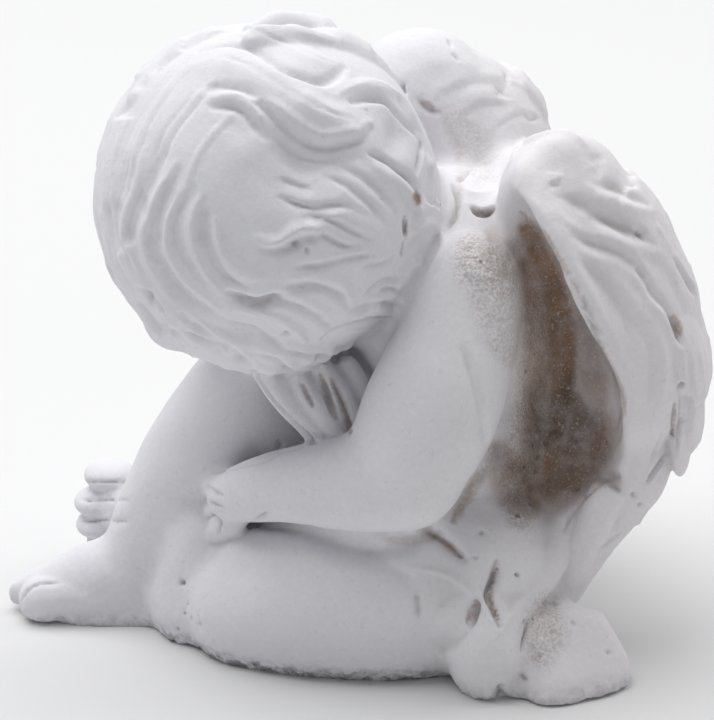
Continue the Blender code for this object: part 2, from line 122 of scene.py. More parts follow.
def ball(lump, centre, radii, up=(0, 0, 1), side=(1, 0, 0), fine=4):
    """A ball or an egg: radii along side, across it and along up."""
    z = Vector(up).normalized()
    x = Vector(side)
    x = (x - z * x.dot(z)).normalized()
    turn = Matrix((x, z.cross(x), z)).transposed().to_4x4()
    if not isinstance(radii, tuple):
        radii = (radii,) * 3
    size = Matrix.Diagonal((*[r * UNIT for r in radii], 1))
    place = Matrix.Translation(Vector(centre) * UNIT)
    bmesh.ops.create_icosphere(lump, subdivisions=fine, radius=1, matrix=place @ turn @ size)


def tubes(lump, paths, steps=8, sides=6):
    """Round-ended tubes; each path holds rows of x, y, z and radius."""
    curve = bpy.data.curves.new("tubes", "CURVE")
    curve.dimensions = "3D"
    curve.bevel_depth = 1
    curve.bevel_resolution = sides
    curve.use_fill_caps = True
    for rows in paths:
        rows = smooth_row(rows, max(2, steps * (len(rows) - 1) + 1))
        rows[:, 3] = np.maximum(rows[:, 3], THINNEST)
        ends = []
        for tip, near in ((rows[0], rows[1]), (rows[-1], rows[-2])):
            out = unit(tip[:3] - near[:3])
            cap = []
            for angle in (80, 60, 40, 20):
                reach = math.sin(math.radians(angle)) * tip[3]
                wide = math.cos(math.radians(angle)) * tip[3]
                cap.append([*(tip[:3] + out * reach), wide])
            ends.append(cap)
        full = np.array(ends[0] + rows.tolist() + ends[1][::-1]) * UNIT
        line = curve.splines.new("POLY")
        line.points.add(len(full) - 1)
        for spot, row in zip(line.points, full):
            spot.co = (*row[:3], 1)
            spot.radius = row[3]
    guide = placed("tubes", curve)
    shape = guide.evaluated_get(bpy.context.evaluated_depsgraph_get()).to_mesh()
    lump.from_mesh(shape)
    bpy.data.objects.remove(guide, do_unlink=True)
    bpy.data.curves.remove(curve)


def slab(lump, corners):
    """A block with flat sides: the hull of its corners."""
    verts = [lump.verts.new(Vector(corner) * UNIT) for corner in corners]
    made = bmesh.ops.convex_hull(lump, input=verts)
    loose = [v for v in made["geom_interior"] + made["geom_unused"]
             if isinstance(v, bmesh.types.BMVert)]
    bmesh.ops.delete(lump, geom=loose, context="VERTS")


def finished(mesh, add):
    """The mesh as it is once the modifiers that add puts on its object are applied."""
    thing = placed("clay", mesh)
    add(thing)
    shape = bpy.data.meshes.new_from_object(
        thing.evaluated_get(bpy.context.evaluated_depsgraph_get()))
    bpy.data.objects.remove(thing, do_unlink=True)
    bpy.data.meshes.remove(mesh)
    return shape


def rework(lump, add):
    """Put the lump through the modifiers that add puts on its object."""
    mesh = bpy.data.meshes.new("clay")
    lump.to_mesh(mesh)
    shape = finished(mesh, add)
    lump.clear()
    lump.from_mesh(shape)
    bpy.data.meshes.remove(shape)


def settle(lump, forms, soft, grain):
    """Melt the gathered forms into the lump's one skin and soften its seams."""
    mesh = bpy.data.meshes.new("forms")
    forms.to_mesh(mesh)
    forms.clear()
    lump.from_mesh(mesh)
    bpy.data.meshes.remove(mesh)

    def melt_and_soften(clay):
        melt = clay.modifiers.new("melt", "REMESH")
        melt.mode = "VOXEL"
        melt.voxel_size = grain * UNIT
        soften = clay.modifiers.new("soften", "SMOOTH")
        soften.factor = 0.5
        soften.iterations = max(1, round(2 * (soft / grain) ** 2))

    rework(lump, melt_and_soften)


def hollow(lump, tool):
    """Cut the closed form in tool out of the lump."""
    mesh = bpy.data.meshes.new("cutter")
    tool.to_mesh(mesh)
    tool.free()
    cutter = placed("cutter", mesh)

    def cut_away(clay):
        cut = clay.modifiers.new("cut", "BOOLEAN")
        cut.operation = "DIFFERENCE"
        cut.object = cutter

    rework(lump, cut_away)
    bpy.data.objects.remove(cutter, do_unlink=True)
    bpy.data.meshes.remove(mesh)


# Wings, folded down the back like a cape; rows of middle and half thickness

NEAR_WING = [(25.4, -1, 60, 8.3), (28.4, -1, 52.5, 10.8), (30.3, -1, 42, 12.8),
             (30.2, -1, 31, 11.8), (31.2, -2, 25, 8.8)]
FAR_WING = [(8.2, 24, 64.8, 10.1), (13.8, 25, 57.8, 12.1), (15.8, 26, 45, 12.9),
            (16, 27, 32, 12.4), (17, 28, 25, 9.8)]
NEAR_QUILLS = [(34, -3, 25, 6.2), (28.8, -6, 15, 3.8), (25.6, -7.4, 8, 2.2)]
NEAR_INNER = [(34.5, 4, 28, 6.2), (31.4, 2.6, 19, 3.6), (28.8, 0, 13, 2)]
FAR_QUILLS = [(14, 30.5, 25, 6.2), (12, 31, 15, 3.8), (9.5, 30, 8.5, 2.2)]
FAR_INNER = [(21.5, 26.5, 27, 6.2), (18.5, 28.5, 18, 3.6), (15.5, 29, 13, 2)]

NEAR_CREST = [(20.6, -5.5, 64, 2.4), (22.6, -8, 60, 3), (26, -11.4, 52, 2.9),
              (29.4, -12, 45, 2.4), (31.8, -12, 38, 1.8), (32.6, -11, 31, 1.2)]
NEAR_HOLLOW = [(20.2, -7, 59, 2.8), (20.8, -7.4, 56, 4.6), (21.8, -7.8, 52, 6),
               (22.6, -8, 45, 7.9), (24.3, -8, 37, 9), (24, -8.5, 29, 8.5), (21, -9, 23.5, 6.8)]
WING_STEPS = 80  # steps along the middle of a wing

shafts = []


def plumage(lump, wing, levels, angles, size, lift, turn=0.0):
    """Overlapping feathers, row on row, over the outside of a folded wing.

    Levels are shares of the way down the wing, angles go round it, and size is a
    feather's half width, half length and half thickness. Its shaft goes into shafts.
    """
    line = smooth_row(wing, WING_STEPS + 1)
    for row, level in enumerate(levels):
        spot = round(level * WING_STEPS)
        middle, thick_here = line[spot, :3], line[spot, 3]
        up = unit(line[max(spot - 2, 0), :3] - line[min(spot + 2, WING_STEPS), :3])
        x = unit(np.array([1, 0, 0]) - up * up[0])
        y = np.cross(up, x)
        shift = 0.5 * (angles[1] - angles[0]) * (row % 2)
        for angle in angles:
            a = math.radians(angle + shift)
            normal = x * math.cos(a) + y * math.sin(a)
            across = np.cross(normal, up)
            lean = math.radians(turn)
            down = -up * math.cos(lean) + across * math.sin(lean)
            across = np.cross(normal, down)
            skin = unit(normal - down * lift)
            wide, long, thick = size
            root = middle + normal * (thick_here - thick * 0.35) + down * long * 0.3
            ball(lump, root, (wide, long, thick), up=skin, side=across, fine=3)
            crown = root + skin * thick * 0.9
            shafts.append([(*(crown + down * long * (s - 0.15)), SHAFT * (1 - 0.3 * s),
                            -SHAFT_RISE) for s in (0.1, 0.4, 0.7, 0.95)])


def quills(first, middle, last, count):
    """Long feathers side by side from one guide through another to the last."""
    guides = np.array([first, middle, last], float)
    flat = smooth_row(guides.reshape(3, -1), count)
    return [row.reshape(-1, 4).tolist() for row in flat]


clay = bmesh.new()
forms = bmesh.new()
tubes(forms, [NEAR_WING, NEAR_QUILLS, NEAR_INNER], sides=9)
tubes(forms, [NEAR_CREST])
settle(clay, forms, 2.0, BROAD)
recess = bmesh.new()
tubes(forms, [NEAR_HOLLOW])
settle(recess, forms, 0.9, BROAD)
hollow(clay, recess)
tubes(forms, [FAR_WING, FAR_QUILLS, FAR_INNER], sides=9)

BACK = ((25, 11.5, 41), (11, 9, 22))  # the rounded back between the wings
BACK_UP = (-0.2, 0.02, 0.97)
ball(forms, *BACK, up=BACK_UP)

# Body and skull: the middle and radii of each mass, and rows of middle and radius

MASSES = {
    "hips": ((14, 3, 11), (13, 15, 12)),
    "waist": ((12.5, 3, 26), (11.5, 12, 14)),
    "chest": ((12, 3.5, 42), (13.3, 13, 14)),
    "shoulders": ((12.5, 8, 51), (9.5, 13, 9.5)),
    "near shoulder": ((13.6, -6, 49), (7.2, 7.2, 7.5)),
    "far shoulder": ((4.6, 22.5, 51), 8.3),
    "chin's rest": ((-1.5, 9.5, 38.5), (6, 6, 7)),
    "near seat": ((15.5, -5, 12), (11, 12, 11)),
}
LOW_CURLS = ((-21.4, -4.2, 45.6), (5.6, 5.6, 5))
SCALP = 0.3  # the skull starts this much smaller than its hair's base
TRUNK = {
    "neck": [(8, 6, 53, 8.5), (-2, 3, 57, 9)],
    "near thigh": [(13, -6, 8.4, 10.6), (3, -6.8, 7.4, 10.5), (-6, -5.4, 6.8, 10.3),
        (-13, -3.4, 5.4, 9)],
    "lap": [(-7, 8, 4, 8), (-8, 7, 18, 7)],
}
for middle, radii in MASSES.values():
    ball(forms, middle, radii)
ball(forms, HEAD, SKULL - SCALP, fine=5)
ball(forms, *LOW_CURLS)
tubes(forms, TRUNK.values())
settle(clay, forms, 1.8, BROAD)

# Arms, legs and hands: rows of middle and radius

LIMBS = {
    "near upper arm": [(13.4, -7.6, 50.6, 6.8), (12.2, -9.8, 44, 7.5), (9.6, -11.6, 37, 8.6),
        (6.4, -12.6, 30, 8.0)],
    "near forearm": [(6.2, -13, 28, 7.4), (0, -12.4, 26.4, 6.3), (-7, -9.8, 25, 5),
        (-13, -6, 22.6, 4.2), (-16, -3, 20.4, 3.4)],
    "far upper arm": [(4.6, 23, 51, 8), (-4, 22, 42, 7.4), (-12, 18.5, 35, 6.6)],
    "far forearm": [(-12, 18.5, 35, 6.4), (-12, 10, 37.5, 5.4), (-10.5, 2, 39.5, 4.6),
        (-7.5, -2.5, 39, 4)],
    "raised thigh": [(9, 13, 15, 10), (-3, 9.5, 24, 9.4), (-13.6, 6.6, 30.4, 7.6)],
    "raised shin": [(-14.8, 6.5, 30.4, 7.6), (-21, 7, 21, 7.4), (-26.4, 7.6, 10, 6.4),
        (-27.4, 8, 4, 5.6)],
    "foot": [(-22, 8, 3.6, 5), (-29, 8, 4.4, 6), (-33.5, 7.6, 4.2, 5.7), (-38, 7.4, 3, 4.8),
        (-41, 7.4, 2.3, 3.8)],
    "sole": [(-22, 6.2, 1.4, 4.4), (-36, 6, 1.4, 4.2)],
    "top of the near thigh": [(-12, -2.2, 9.4, 7.2), (-4, -5.2, 11, 9), (3, -6.2, 11.6, 9.6),
        (10, -6, 13.4, 9.8)],
    "near knee": [(-19.5, 2.4, 13, 5.4), (-20, 1.8, 4, 7.2)],
    "folded shin": [(-8, -3, 8, 7.5), (-18, 12, 6.5, 6), (-26, 20, 6.5, 5)],
    "folded foot": [(-26, 20, 6.5, 5), (-31, 24, 8, 5.2)],
}
tubes(forms, LIMBS.values())
settle(clay, forms, 1.25, BROAD)

# Cloth drawn about the hip, its folds and the tail that lies behind

CLOTH_KNOT = ((16.2, -15.5, 5.5), (5.2, 6.2, 7.5))
TAIL_CORNERS = [
    (18.8, -19.2, 0), (23.8, -22.6, 0), (31, -19.6, 0), (34.8, -16.4, 0.6), (35, -11, 0),
    (22, -5, 0), (24.4, -21.6, 2.8), (30.8, -18.8, 3), (33.4, -15.4, 4.6), (30.8, -15, 8.8),
    (31, -11, 8.4), (26, -15.4, 10.2), (25.6, -10, 9.8), (21.4, -17, 9), (19.6, -18.6, 4),
]
FOLDS = {
    "from the thigh": [(5, -11, 14.6, 1.6), (8.5, -12.8, 14.9, 2), (12.3, -14, 14.6, 2),
        (15, -16, 12.6, 1.9), (17.4, -18.6, 9.2, 1.9), (18, -19.6, 5, 2)],
    "from the wing": [(26.6, -6.6, 18.5, 2.0), (23.8, -10.6, 14, 2.1), (20.6, -14.4, 11, 2.1),
        (17.8, -18.2, 8.6, 1.9), (15.4, -19.2, 4.6, 2.2)],
    "below": [(14.8, -16, 12.4, 1.7), (11.6, -15.8, 9.6, 1.8), (9, -14.6, 6, 1.9)],
}
ball(forms, *CLOTH_KNOT)
slab(forms, TAIL_CORNERS)
settle(clay, forms, 0.75, BROAD)
tubes(forms, FOLDS.values())
settle(clay, forms, 0.8, CRISP)


# Broad locks of hair laid on the skull, drawn on a disc that faces the near side

RIGHT = np.array([1.0, 0.0, 0.0])
TOWARD = unit((0, -0.94, 0.342))
UPWARD = np.cross(TOWARD, RIGHT) * -1


def on_disc(point):
    """Direction from the middle of the skull under a point drawn on the disc."""
    u, v = point
    off = math.hypot(u, v)
    if off > SKULL:
        u, v = u * SKULL / off, v * SKULL / off
    w = math.sqrt(max(SKULL ** 2 - u * u - v * v, 0))
    return unit(RIGHT * u + UPWARD * v + TOWARD * w)


def lock(ways, width, height):
    """One lock over the skull along the given directions, tapered at both ends."""
    ways = smooth_row(ways, 4 * len(ways))
    rows = []
    for i, way in enumerate(ways):
        t = i / (len(ways) - 1)
        full = min(1.0, 0.45 + 2.4 * t, 0.35 + 3.2 * (1 - t))
        wide, high = width * full, height * full
        round_off = (wide * wide / 4 + high * high) / (2 * high)
        spot = np.array(HEAD) + unit(way) * (SKULL + high - round_off)
        rows.append((*spot, round_off))
    return rows


def broad_lock(points, width, height):
    return lock([on_disc(p) for p in points], width, height * CURL)


hair = [
    broad_lock([(-18.6, 8.0), (-20.6, 2.0), (-20.4, -4.4), (-18.0, -8.8)], 5.2, 0.6),
    broad_lock([(-16.4, -12.0), (-14.6, -15.4), (-11.2, -18.0), (-6.4, -20.0)], 6.4, 1.3),
    broad_lock([(-19.0, 10.6), (-13.0, 17.4), (-3.9, 20.6), (6.8, 20.4), (13.6, 17.2)], 8.5, 0.9),
    broad_lock([(13.4, 13.6), (18.3, 8.4), (20.1, 2.4), (20.0, -3.4)], 5.4, 0.8),
    broad_lock([(-2.0, -18.2), (4.4, -19.6), (10.4, -18.4), (15.4, -15.0)], 5.6, 1.3),
    broad_lock([(-2.0, -20.4), (4.0, -21.0), (9.0, -19.6)], 5.0, 2.0),
]

# The face looks down and away; these are its forward, upward and rightward directions

FORWARD = unit((-0.30, 0.80, -0.52))
TOP = np.array([-0.93, -0.12, 0.35])
CROWN = unit(TOP - FORWARD * (TOP @ FORWARD))
OUTWARD = np.cross(FORWARD, CROWN)


def round_face(turn, open_by):
    """Direction at an angle round the face, and at an angle off its middle."""
    a, b = math.radians(turn), math.radians(open_by)
    return FORWARD * math.cos(b) + (CROWN * math.cos(a) + OUTWARD * math.sin(a)) * math.sin(b)


def sweep(first, last, opening, inwards, wave, phase):
    """Directions of a lock that sweeps round the face from one angle to another."""
    way = []
    for t in np.linspace(0, 1, 7):
        b = opening - inwards * t * t + wave * math.sin(2 * math.pi * t + phase)
        way.append(round_face(first + (last - first) * t, b))
    return way


RINGS = (99, 89, 79, 70)  # how far off the middle of the face each ring of locks starts
LOCKS = 5  # locks to a ring
LOCK_ARC = 62  # degrees round the face that a lock takes
LOCK_PITCH = 47  # from one lock's start to the next one's
FIRST_LOCK = 118  # where the first lock of the first ring starts
RING_SHIFT = 17  # each ring starts this much further round

wreath = []
for ring, opening in enumerate(RINGS):
    for i in range(LOCKS):
        first = FIRST_LOCK - LOCK_PITCH * i + RING_SHIFT * ring
        wreath.append(sweep(first, first - LOCK_ARC, opening, 9 + 3 * ring, 1.6, 1.3 * i + ring))
for i, way in enumerate(wreath):
    high = CURL * (0.85 + 0.25 * math.sin(2.3 * i))
    hair.append(lock(way, 5.6 + 0.8 * math.sin(3.1 * i), high))
tubes(forms, hair, steps=2, sides=6)


def at_face(right, up, out):
    """The place that lies so far across, up and forward of the middle of the skull."""
    return np.array(HEAD) + OUTWARD * right + CROWN * up + FORWARD * out


# Places across, up and forward of the face with radii, and rows of these with one radius
FACE = {"front": ((0, -5, 9), (13.5, 14, 11.5)), "chin": ((0, -14.4, 15.6), (4, 3.4, 3.8))}
FACE_SIDES = {
    "cheek": ((6.6, -8.5, 14.5), (5.6, 5.4, 5.2)),
    "eye": ((6.4, -1.6, 18.6), (3.3, 2.1, 1.7)),
    "nostril": ((1.5, -6.6, 20.4), (1.2, 1.1, 1.1)),
    "ear": ((20.4, -3.6, -0.5), (1.8, 3.6, 3)),
}
FACE_ROWS = {
    "nose": [(0, 0.5, 19.4, 1.4), (0, -3, 20.4, 1.5), (0, -5.8, 21.4, 1.8)],
    "upper lip": [(-2.6, -10.1, 19.2, 0.7), (0, -9.7, 20, 1.1), (2.6, -10.1, 19.2, 0.7)],
    "lower lip": [(-2, -11.2, 19.2, 0.8), (0, -11.5, 19.8, 1.2), (2, -11.2, 19.2, 0.8)],
}


def face_ball(place, radii, side=1):
    right, up, out = place
    ball(forms, at_face(side * right, up, out), radii, up=FORWARD, side=OUTWARD)


face_ball(*FACE["front"])
for side in (-1, 1):
    for part in FACE_SIDES.values():
        face_ball(*part, side)
face_ball(*FACE["chin"])
tubes(forms, [[(*at_face(*spot[:3]), spot[3]) for spot in row] for row in FACE_ROWS.values()])

# Fingers and toes: rows of middle and radius

HANGING_FINGERS = [
    [(-11.4, -5.8, 38.6, 1.7), (-8.6, -7.2, 35, 1.8), (-5.4, -8.4, 31.6, 1.5)],
    [(-8.4, -5.6, 38.8, 1.6), (-5.4, -7.6, 35, 1.7), (-2.9, -8.6, 31.8, 1.4)],
    [(-4.6, -5, 39, 1.6), (-1.9, -6.8, 35.4, 1.7), (-0.2, -7.6, 31.8, 1.4)],
    [(-1.2, -4, 38.6, 1.5), (0.9, -5.4, 35.4, 1.5), (2.2, -6, 32.2, 1.3)],
]
SHIN_FINGERS = [
    [(-14.6, -3.6, 21.6, 2.2), (-17.2, -1.4, 21, 1.9), (-18.8, 0.8, 20.4, 1.5)],
    [(-15, -3.8, 19, 2.1), (-17.2, -1.8, 18, 1.8), (-18.6, 0.2, 17.2, 1.4)],
    [(-15.6, -3.4, 17.4, 1.8), (-17.8, -1.8, 15.2, 1.7), (-18.8, -0.6, 13.2, 1.4)],
]
BIG_TOE = [(-34, 5.4, 3.2, 3.6), (-41.2, 4.9, 2.7, 3.2)]
NEAR_TOES = 4  # small toes of the foot in front
FAR_TOES = [(-33.4, 24.4, 12.3), (-35.2, 24.2, 8.6), (-35.3, 24, 5.4), (-34.3, 24, 2.6)]
tubes(forms, [*HANGING_FINGERS, *SHIN_FINGERS, BIG_TOE])
for i in range(NEAR_TOES):
    ball(forms, (-43.6 + 0.55 * i, 7.4 + 1.75 * i, 2.5 - 0.1 * i), (2.3, 1.25, 1.9 - 0.1 * i))
for i, toe in enumerate(FAR_TOES):
    ball(forms, toe, (3.6 - 0.3 * i, 3.6, 2.1 - 0.15 * i))

# Feathers

NEAR_FAN = (-29, -4, 21, 46, 71)  # angles round the near wing
FAR_FAN = (13, 38, 63, 88)  # and round the far one
FAR_EDGE = (-48, -23, 2)
plumage(forms, NEAR_WING, (0.16, 0.34, 0.5, 0.63), NEAR_FAN, VANE, 0.12, -8)
plumage(forms, NEAR_WING, (0.8,), (-20, 5, 30, 55), (3.8, 5.6, FEATHER), -0.14, -8)
plumage(forms, FAR_WING, (0.19,), FAR_FAN, (3.8, 4.4, FEATHER), -0.08, 8)
plumage(forms, FAR_WING, (0.34, 0.52, 0.7, 0.86), FAR_FAN, VANE, 0.12, 8)
plumage(forms, FAR_WING, (0.4, 0.58, 0.74, 0.88), FAR_EDGE, VANE, 0.1, 8)
tubes(forms, quills([(31, -9, 23, 2.4), (28, -8.6, 15, 2), (25.8, -7.8, 9.5, 1.2)],
                    [(36.4, -1.8, 23, 2.4), (30.8, -3.6, 15, 2), (27.4, -5.6, 8, 1.2)],
                    [(37.4, 8, 27, 2.4), (33, 5.4, 20.4, 2), (29.6, 2.6, 14.8, 1.2)], 7))
tubes(forms, quills([(9.6, 32.4, 24, 2.6), (9.6, 32, 15, 2.2), (8.6, 30.6, 9.2, 1.4)],
                    [(17.5, 35.4, 23, 2.4), (14, 34, 15, 2), (10, 32, 7.5, 1.2)],
                    [(27.4, 27.5, 27, 2.4), (23, 29.6, 20, 2), (19.6, 30.4, 14.5, 1.2)], 7))
settle(clay, forms, 0.5, FINE)


# Strokes of the carver, drawn on the photograph's frame and laid on the skin they cover

AHEAD = np.array([0, math.cos(EYE_LIFT), -math.sin(EYE_LIFT)])
ABOVE = np.array([0, math.sin(EYE_LIFT), math.cos(EYE_LIFT)])
EYE = EYE_AIM - AHEAD * EYE_AWAY


def seen(tree, x, y):
    """Where the line of sight through a pixel meets the skin, in shares, or None."""
    across = (x - WIDE / 2) * PIXEL / EYE_AWAY
    rise = (TALL / 2 - y) * PIXEL / EYE_AWAY
    way = Vector(AHEAD + RIGHT * across + ABOVE * rise).normalized()
    spot = tree.ray_cast(Vector(EYE) * UNIT, way)[0]
    return None if spot is None else np.array(spot) / UNIT


def drawn(tree, half, deep, lip, points):
    """Rows of x, y, z, half width, depth and lip for a stroke given in pixels."""
    way = smooth_row(points, 5 * (len(points) - 1) + 1)
    parts, rows = [], []
    for i, (x, y) in enumerate(way):
        t = i / (len(way) - 1)
        swell = min(1.0, 0.4 + 3 * t, 0.4 + 3 * (1 - t))
        spot = seen(tree, x, y)
        if spot is None or (rows and np.linalg.norm(spot - rows[-1][:3]) > LEAP):
            parts.append(rows)
            rows = []
        if spot is not None:
            rows.append((*spot, half * PIXEL * (0.6 + 0.4 * swell), deep * swell, lip * swell))
    parts.append(rows)
    return [np.array(rows) for rows in parts if len(rows) > 1]


def carve(spots, facing, strokes):
    """How far the skin moves inwards; a lip lifts it on the left of the stroke's way."""
    inward = np.zeros(len(spots))
    for rows in strokes:
        reach = REACH * rows[:, 3].max()
        low, high = rows[:, :3].min(0) - reach, rows[:, :3].max(0) + reach
        near = np.nonzero(((spots > low) & (spots < high)).all(1))[0]
        best = np.full(len(near), FAR)
        here = np.zeros(len(near))
        for a, b in zip(rows[:-1], rows[1:]):
            run = b[:3] - a[:3]
            away = spots[near] - a[:3]
            t = np.clip(away @ run / max(run @ run, 1e-9), 0, 1)
            away = away - t[:, None] * run
            wide, deep, lip = (a[3:6, None] + t * (b[3:6, None] - a[3:6, None]))
            gap = np.linalg.norm(away, axis=1) / wide
            left = np.sign(np.einsum("ij,ij->i", np.cross(facing[near], run), away)) * gap
            closer = gap < best
            best = np.where(closer, gap, best)
            shape = deep * np.exp(-gap ** 2) - lip * np.exp(-((left - 1.5) / 1.1) ** 2)
            here = np.where(closer, shape, here)
        inward[near] += here
    return np.clip(inward, -LIFT_MOST, CUT_MOST)


def dents(tree, spots, places):
    """How far round hollows, given by pixel, radius in pixels and depth, move the skin in."""
    inward = np.zeros(len(spots))
    for x, y, radius, deep in places:
        spot = seen(tree, x, y)
        if spot is not None:
            away = np.linalg.norm(spots - spot, axis=1) / (radius * PIXEL)
            inward += deep * np.exp(-away ** 2)
    return inward


def on_frame(points):
    """Pixel under which each point is seen."""
    away = points - EYE
    depth = away @ AHEAD / EYE_AWAY * PIXEL
    return np.stack([WIDE / 2 + away @ RIGHT / depth, TALL / 2 - away @ ABOVE / depth], 1)


def patches(tree, points, ways):
    """Strength at the points of strips given by half width, strength and way in pixels."""
    total = np.zeros(len(points))
    flat = on_frame(points)
    for half, strength, way in ways:
        way = smooth_row(way, 6 * (len(way) - 1) + 1)
        near = np.full(len(points), FAR)
        deep = np.full(len(points), 1e9)
        for i, (x, y) in enumerate(way):
            spot = seen(tree, x, y)
            if spot is not None:
                wide = half * (0.6 + 0.4 * math.sin(math.pi * i / (len(way) - 1)))
                near = np.minimum(near, np.hypot(flat[:, 0] - x, flat[:, 1] - y) / wide)
                deep = np.minimum(deep, np.linalg.norm(points - spot, axis=1))
        fade = np.clip(1.5 - near, 0, 1)
        total = np.maximum(total, strength * fade * fade * (3 - 2 * fade)
                           * np.exp(-(deep / (half * PIXEL + 6)) ** 6))
    return total


# Each stroke: half width in pixels, depth in shares (a ridge has it negative), the lip's
# height where it isn't the usual one, and its way in pixels

HAIR_RIDGES = [
    (7, -0.6, [(236, 31), (262, 24), (290, 22), (318, 26), (338, 34)]),
    (15, -0.55, [(292, 86), (312, 100), (334, 110), (354, 112)]),
    (20, -0.75, [(196, 58), (220, 54), (244, 60), (266, 74), (288, 88), (314, 104), (344, 114)]),
    (13, -0.4, [(200, 26), (240, 24), (280, 34), (310, 50), (335, 58)]),
    (7, -0.5, [(212, 90), (236, 91), (254, 103), (262, 120)]),
    (7, -0.6, [(335, 89), (351, 81), (369, 78), (388, 83), (401, 92), (411, 108), (420, 122)]),
    (6, -0.7, [(374, 160), (387, 170), (401, 180), (412, 193), (420, 205), (417, 218)]),
    (6, -0.3, [(142, 143), (138, 164), (132, 186), (124, 210), (121, 227), (124, 243), (134, 266),
        (144, 283)]),
    (6, -0.4, [(174, 157), (168, 169), (159, 183), (151, 204), (144, 222), (142, 236), (146, 254),
        (158, 273), (171, 291), (189, 306), (214, 327), (245, 350), (256, 361)]),
    (5.5, -0.35, [(183, 185), (171, 206), (166, 223), (166, 241), (174, 260), (185, 275),
        (204, 290), (218, 303)]),
    (5.5, -0.4, [(200, 190), (193, 209), (191, 226), (194, 244), (201, 261), (211, 274),
        (220, 287)]),
    (5.5, -0.4, [(214, 216), (218, 238), (226, 252), (238, 262), (252, 270), (268, 273)]),
    (5, -0.4, [(228, 303), (242, 303), (259, 308), (281, 315), (292, 323), (306, 336)]),
    (6, -0.9, [(256, 232), (268, 236), (278, 235), (290, 227), (302, 221), (313, 223),
        (320, 231)]),
    (5, -0.4, [(322, 214), (340, 208), (358, 215), (370, 221), (384, 231)]),
    (5, -0.3, [(341, 181), (352, 191), (370, 205)]),
    (5.5, -0.45, [(292, 271), (310, 270), (325, 273), (340, 279), (348, 290), (353, 300)]),
    (5.5, -0.4, [(278, 289), (295, 292), (310, 300), (322, 308), (330, 316)]),
    (4.5, -0.35, [(250, 305), (269, 311), (286, 319), (298, 327), (304, 337)]),
    (5, -0.35, [(350, 311), (361, 309), (379, 306), (397, 308)]),
    (4, -0.3, [(344, 325), (367, 325), (384, 325)]),
    (4, -0.3, [(375, 293), (394, 292), (408, 297)]),
    (5, -0.4, [(405, 236), (417, 226), (430, 219), (438, 224), (445, 238), (436, 258),
        (427, 277)]),
    (5, -0.4, [(162, 312), (168, 328), (178, 343)]),
    (4, -0.3, [(325, 343), (333, 348), (342, 351)]),
    (4, -0.3, [(284, 359), (302, 365), (317, 367)]),
    (5, -0.25, [(280, 158), (291, 166), (305, 173), (320, 171)]),
    (4, -0.25, [(286, 182), (303, 190), (319, 191)]),
    (6, -0.22, [(178, 66), (158, 92), (143, 118), (134, 146), (128, 170)]),
    (6, -0.22, [(212, 74), (188, 98), (168, 124), (158, 148)]),
    (6, -0.22, [(232, 104), (210, 128), (194, 154), (186, 180)]),
    (6, -0.2, [(120, 100), (108, 128), (102, 160), (101, 196), (105, 232)]),
    (6, -0.2, [(104, 250), (112, 272), (126, 290)]),
]
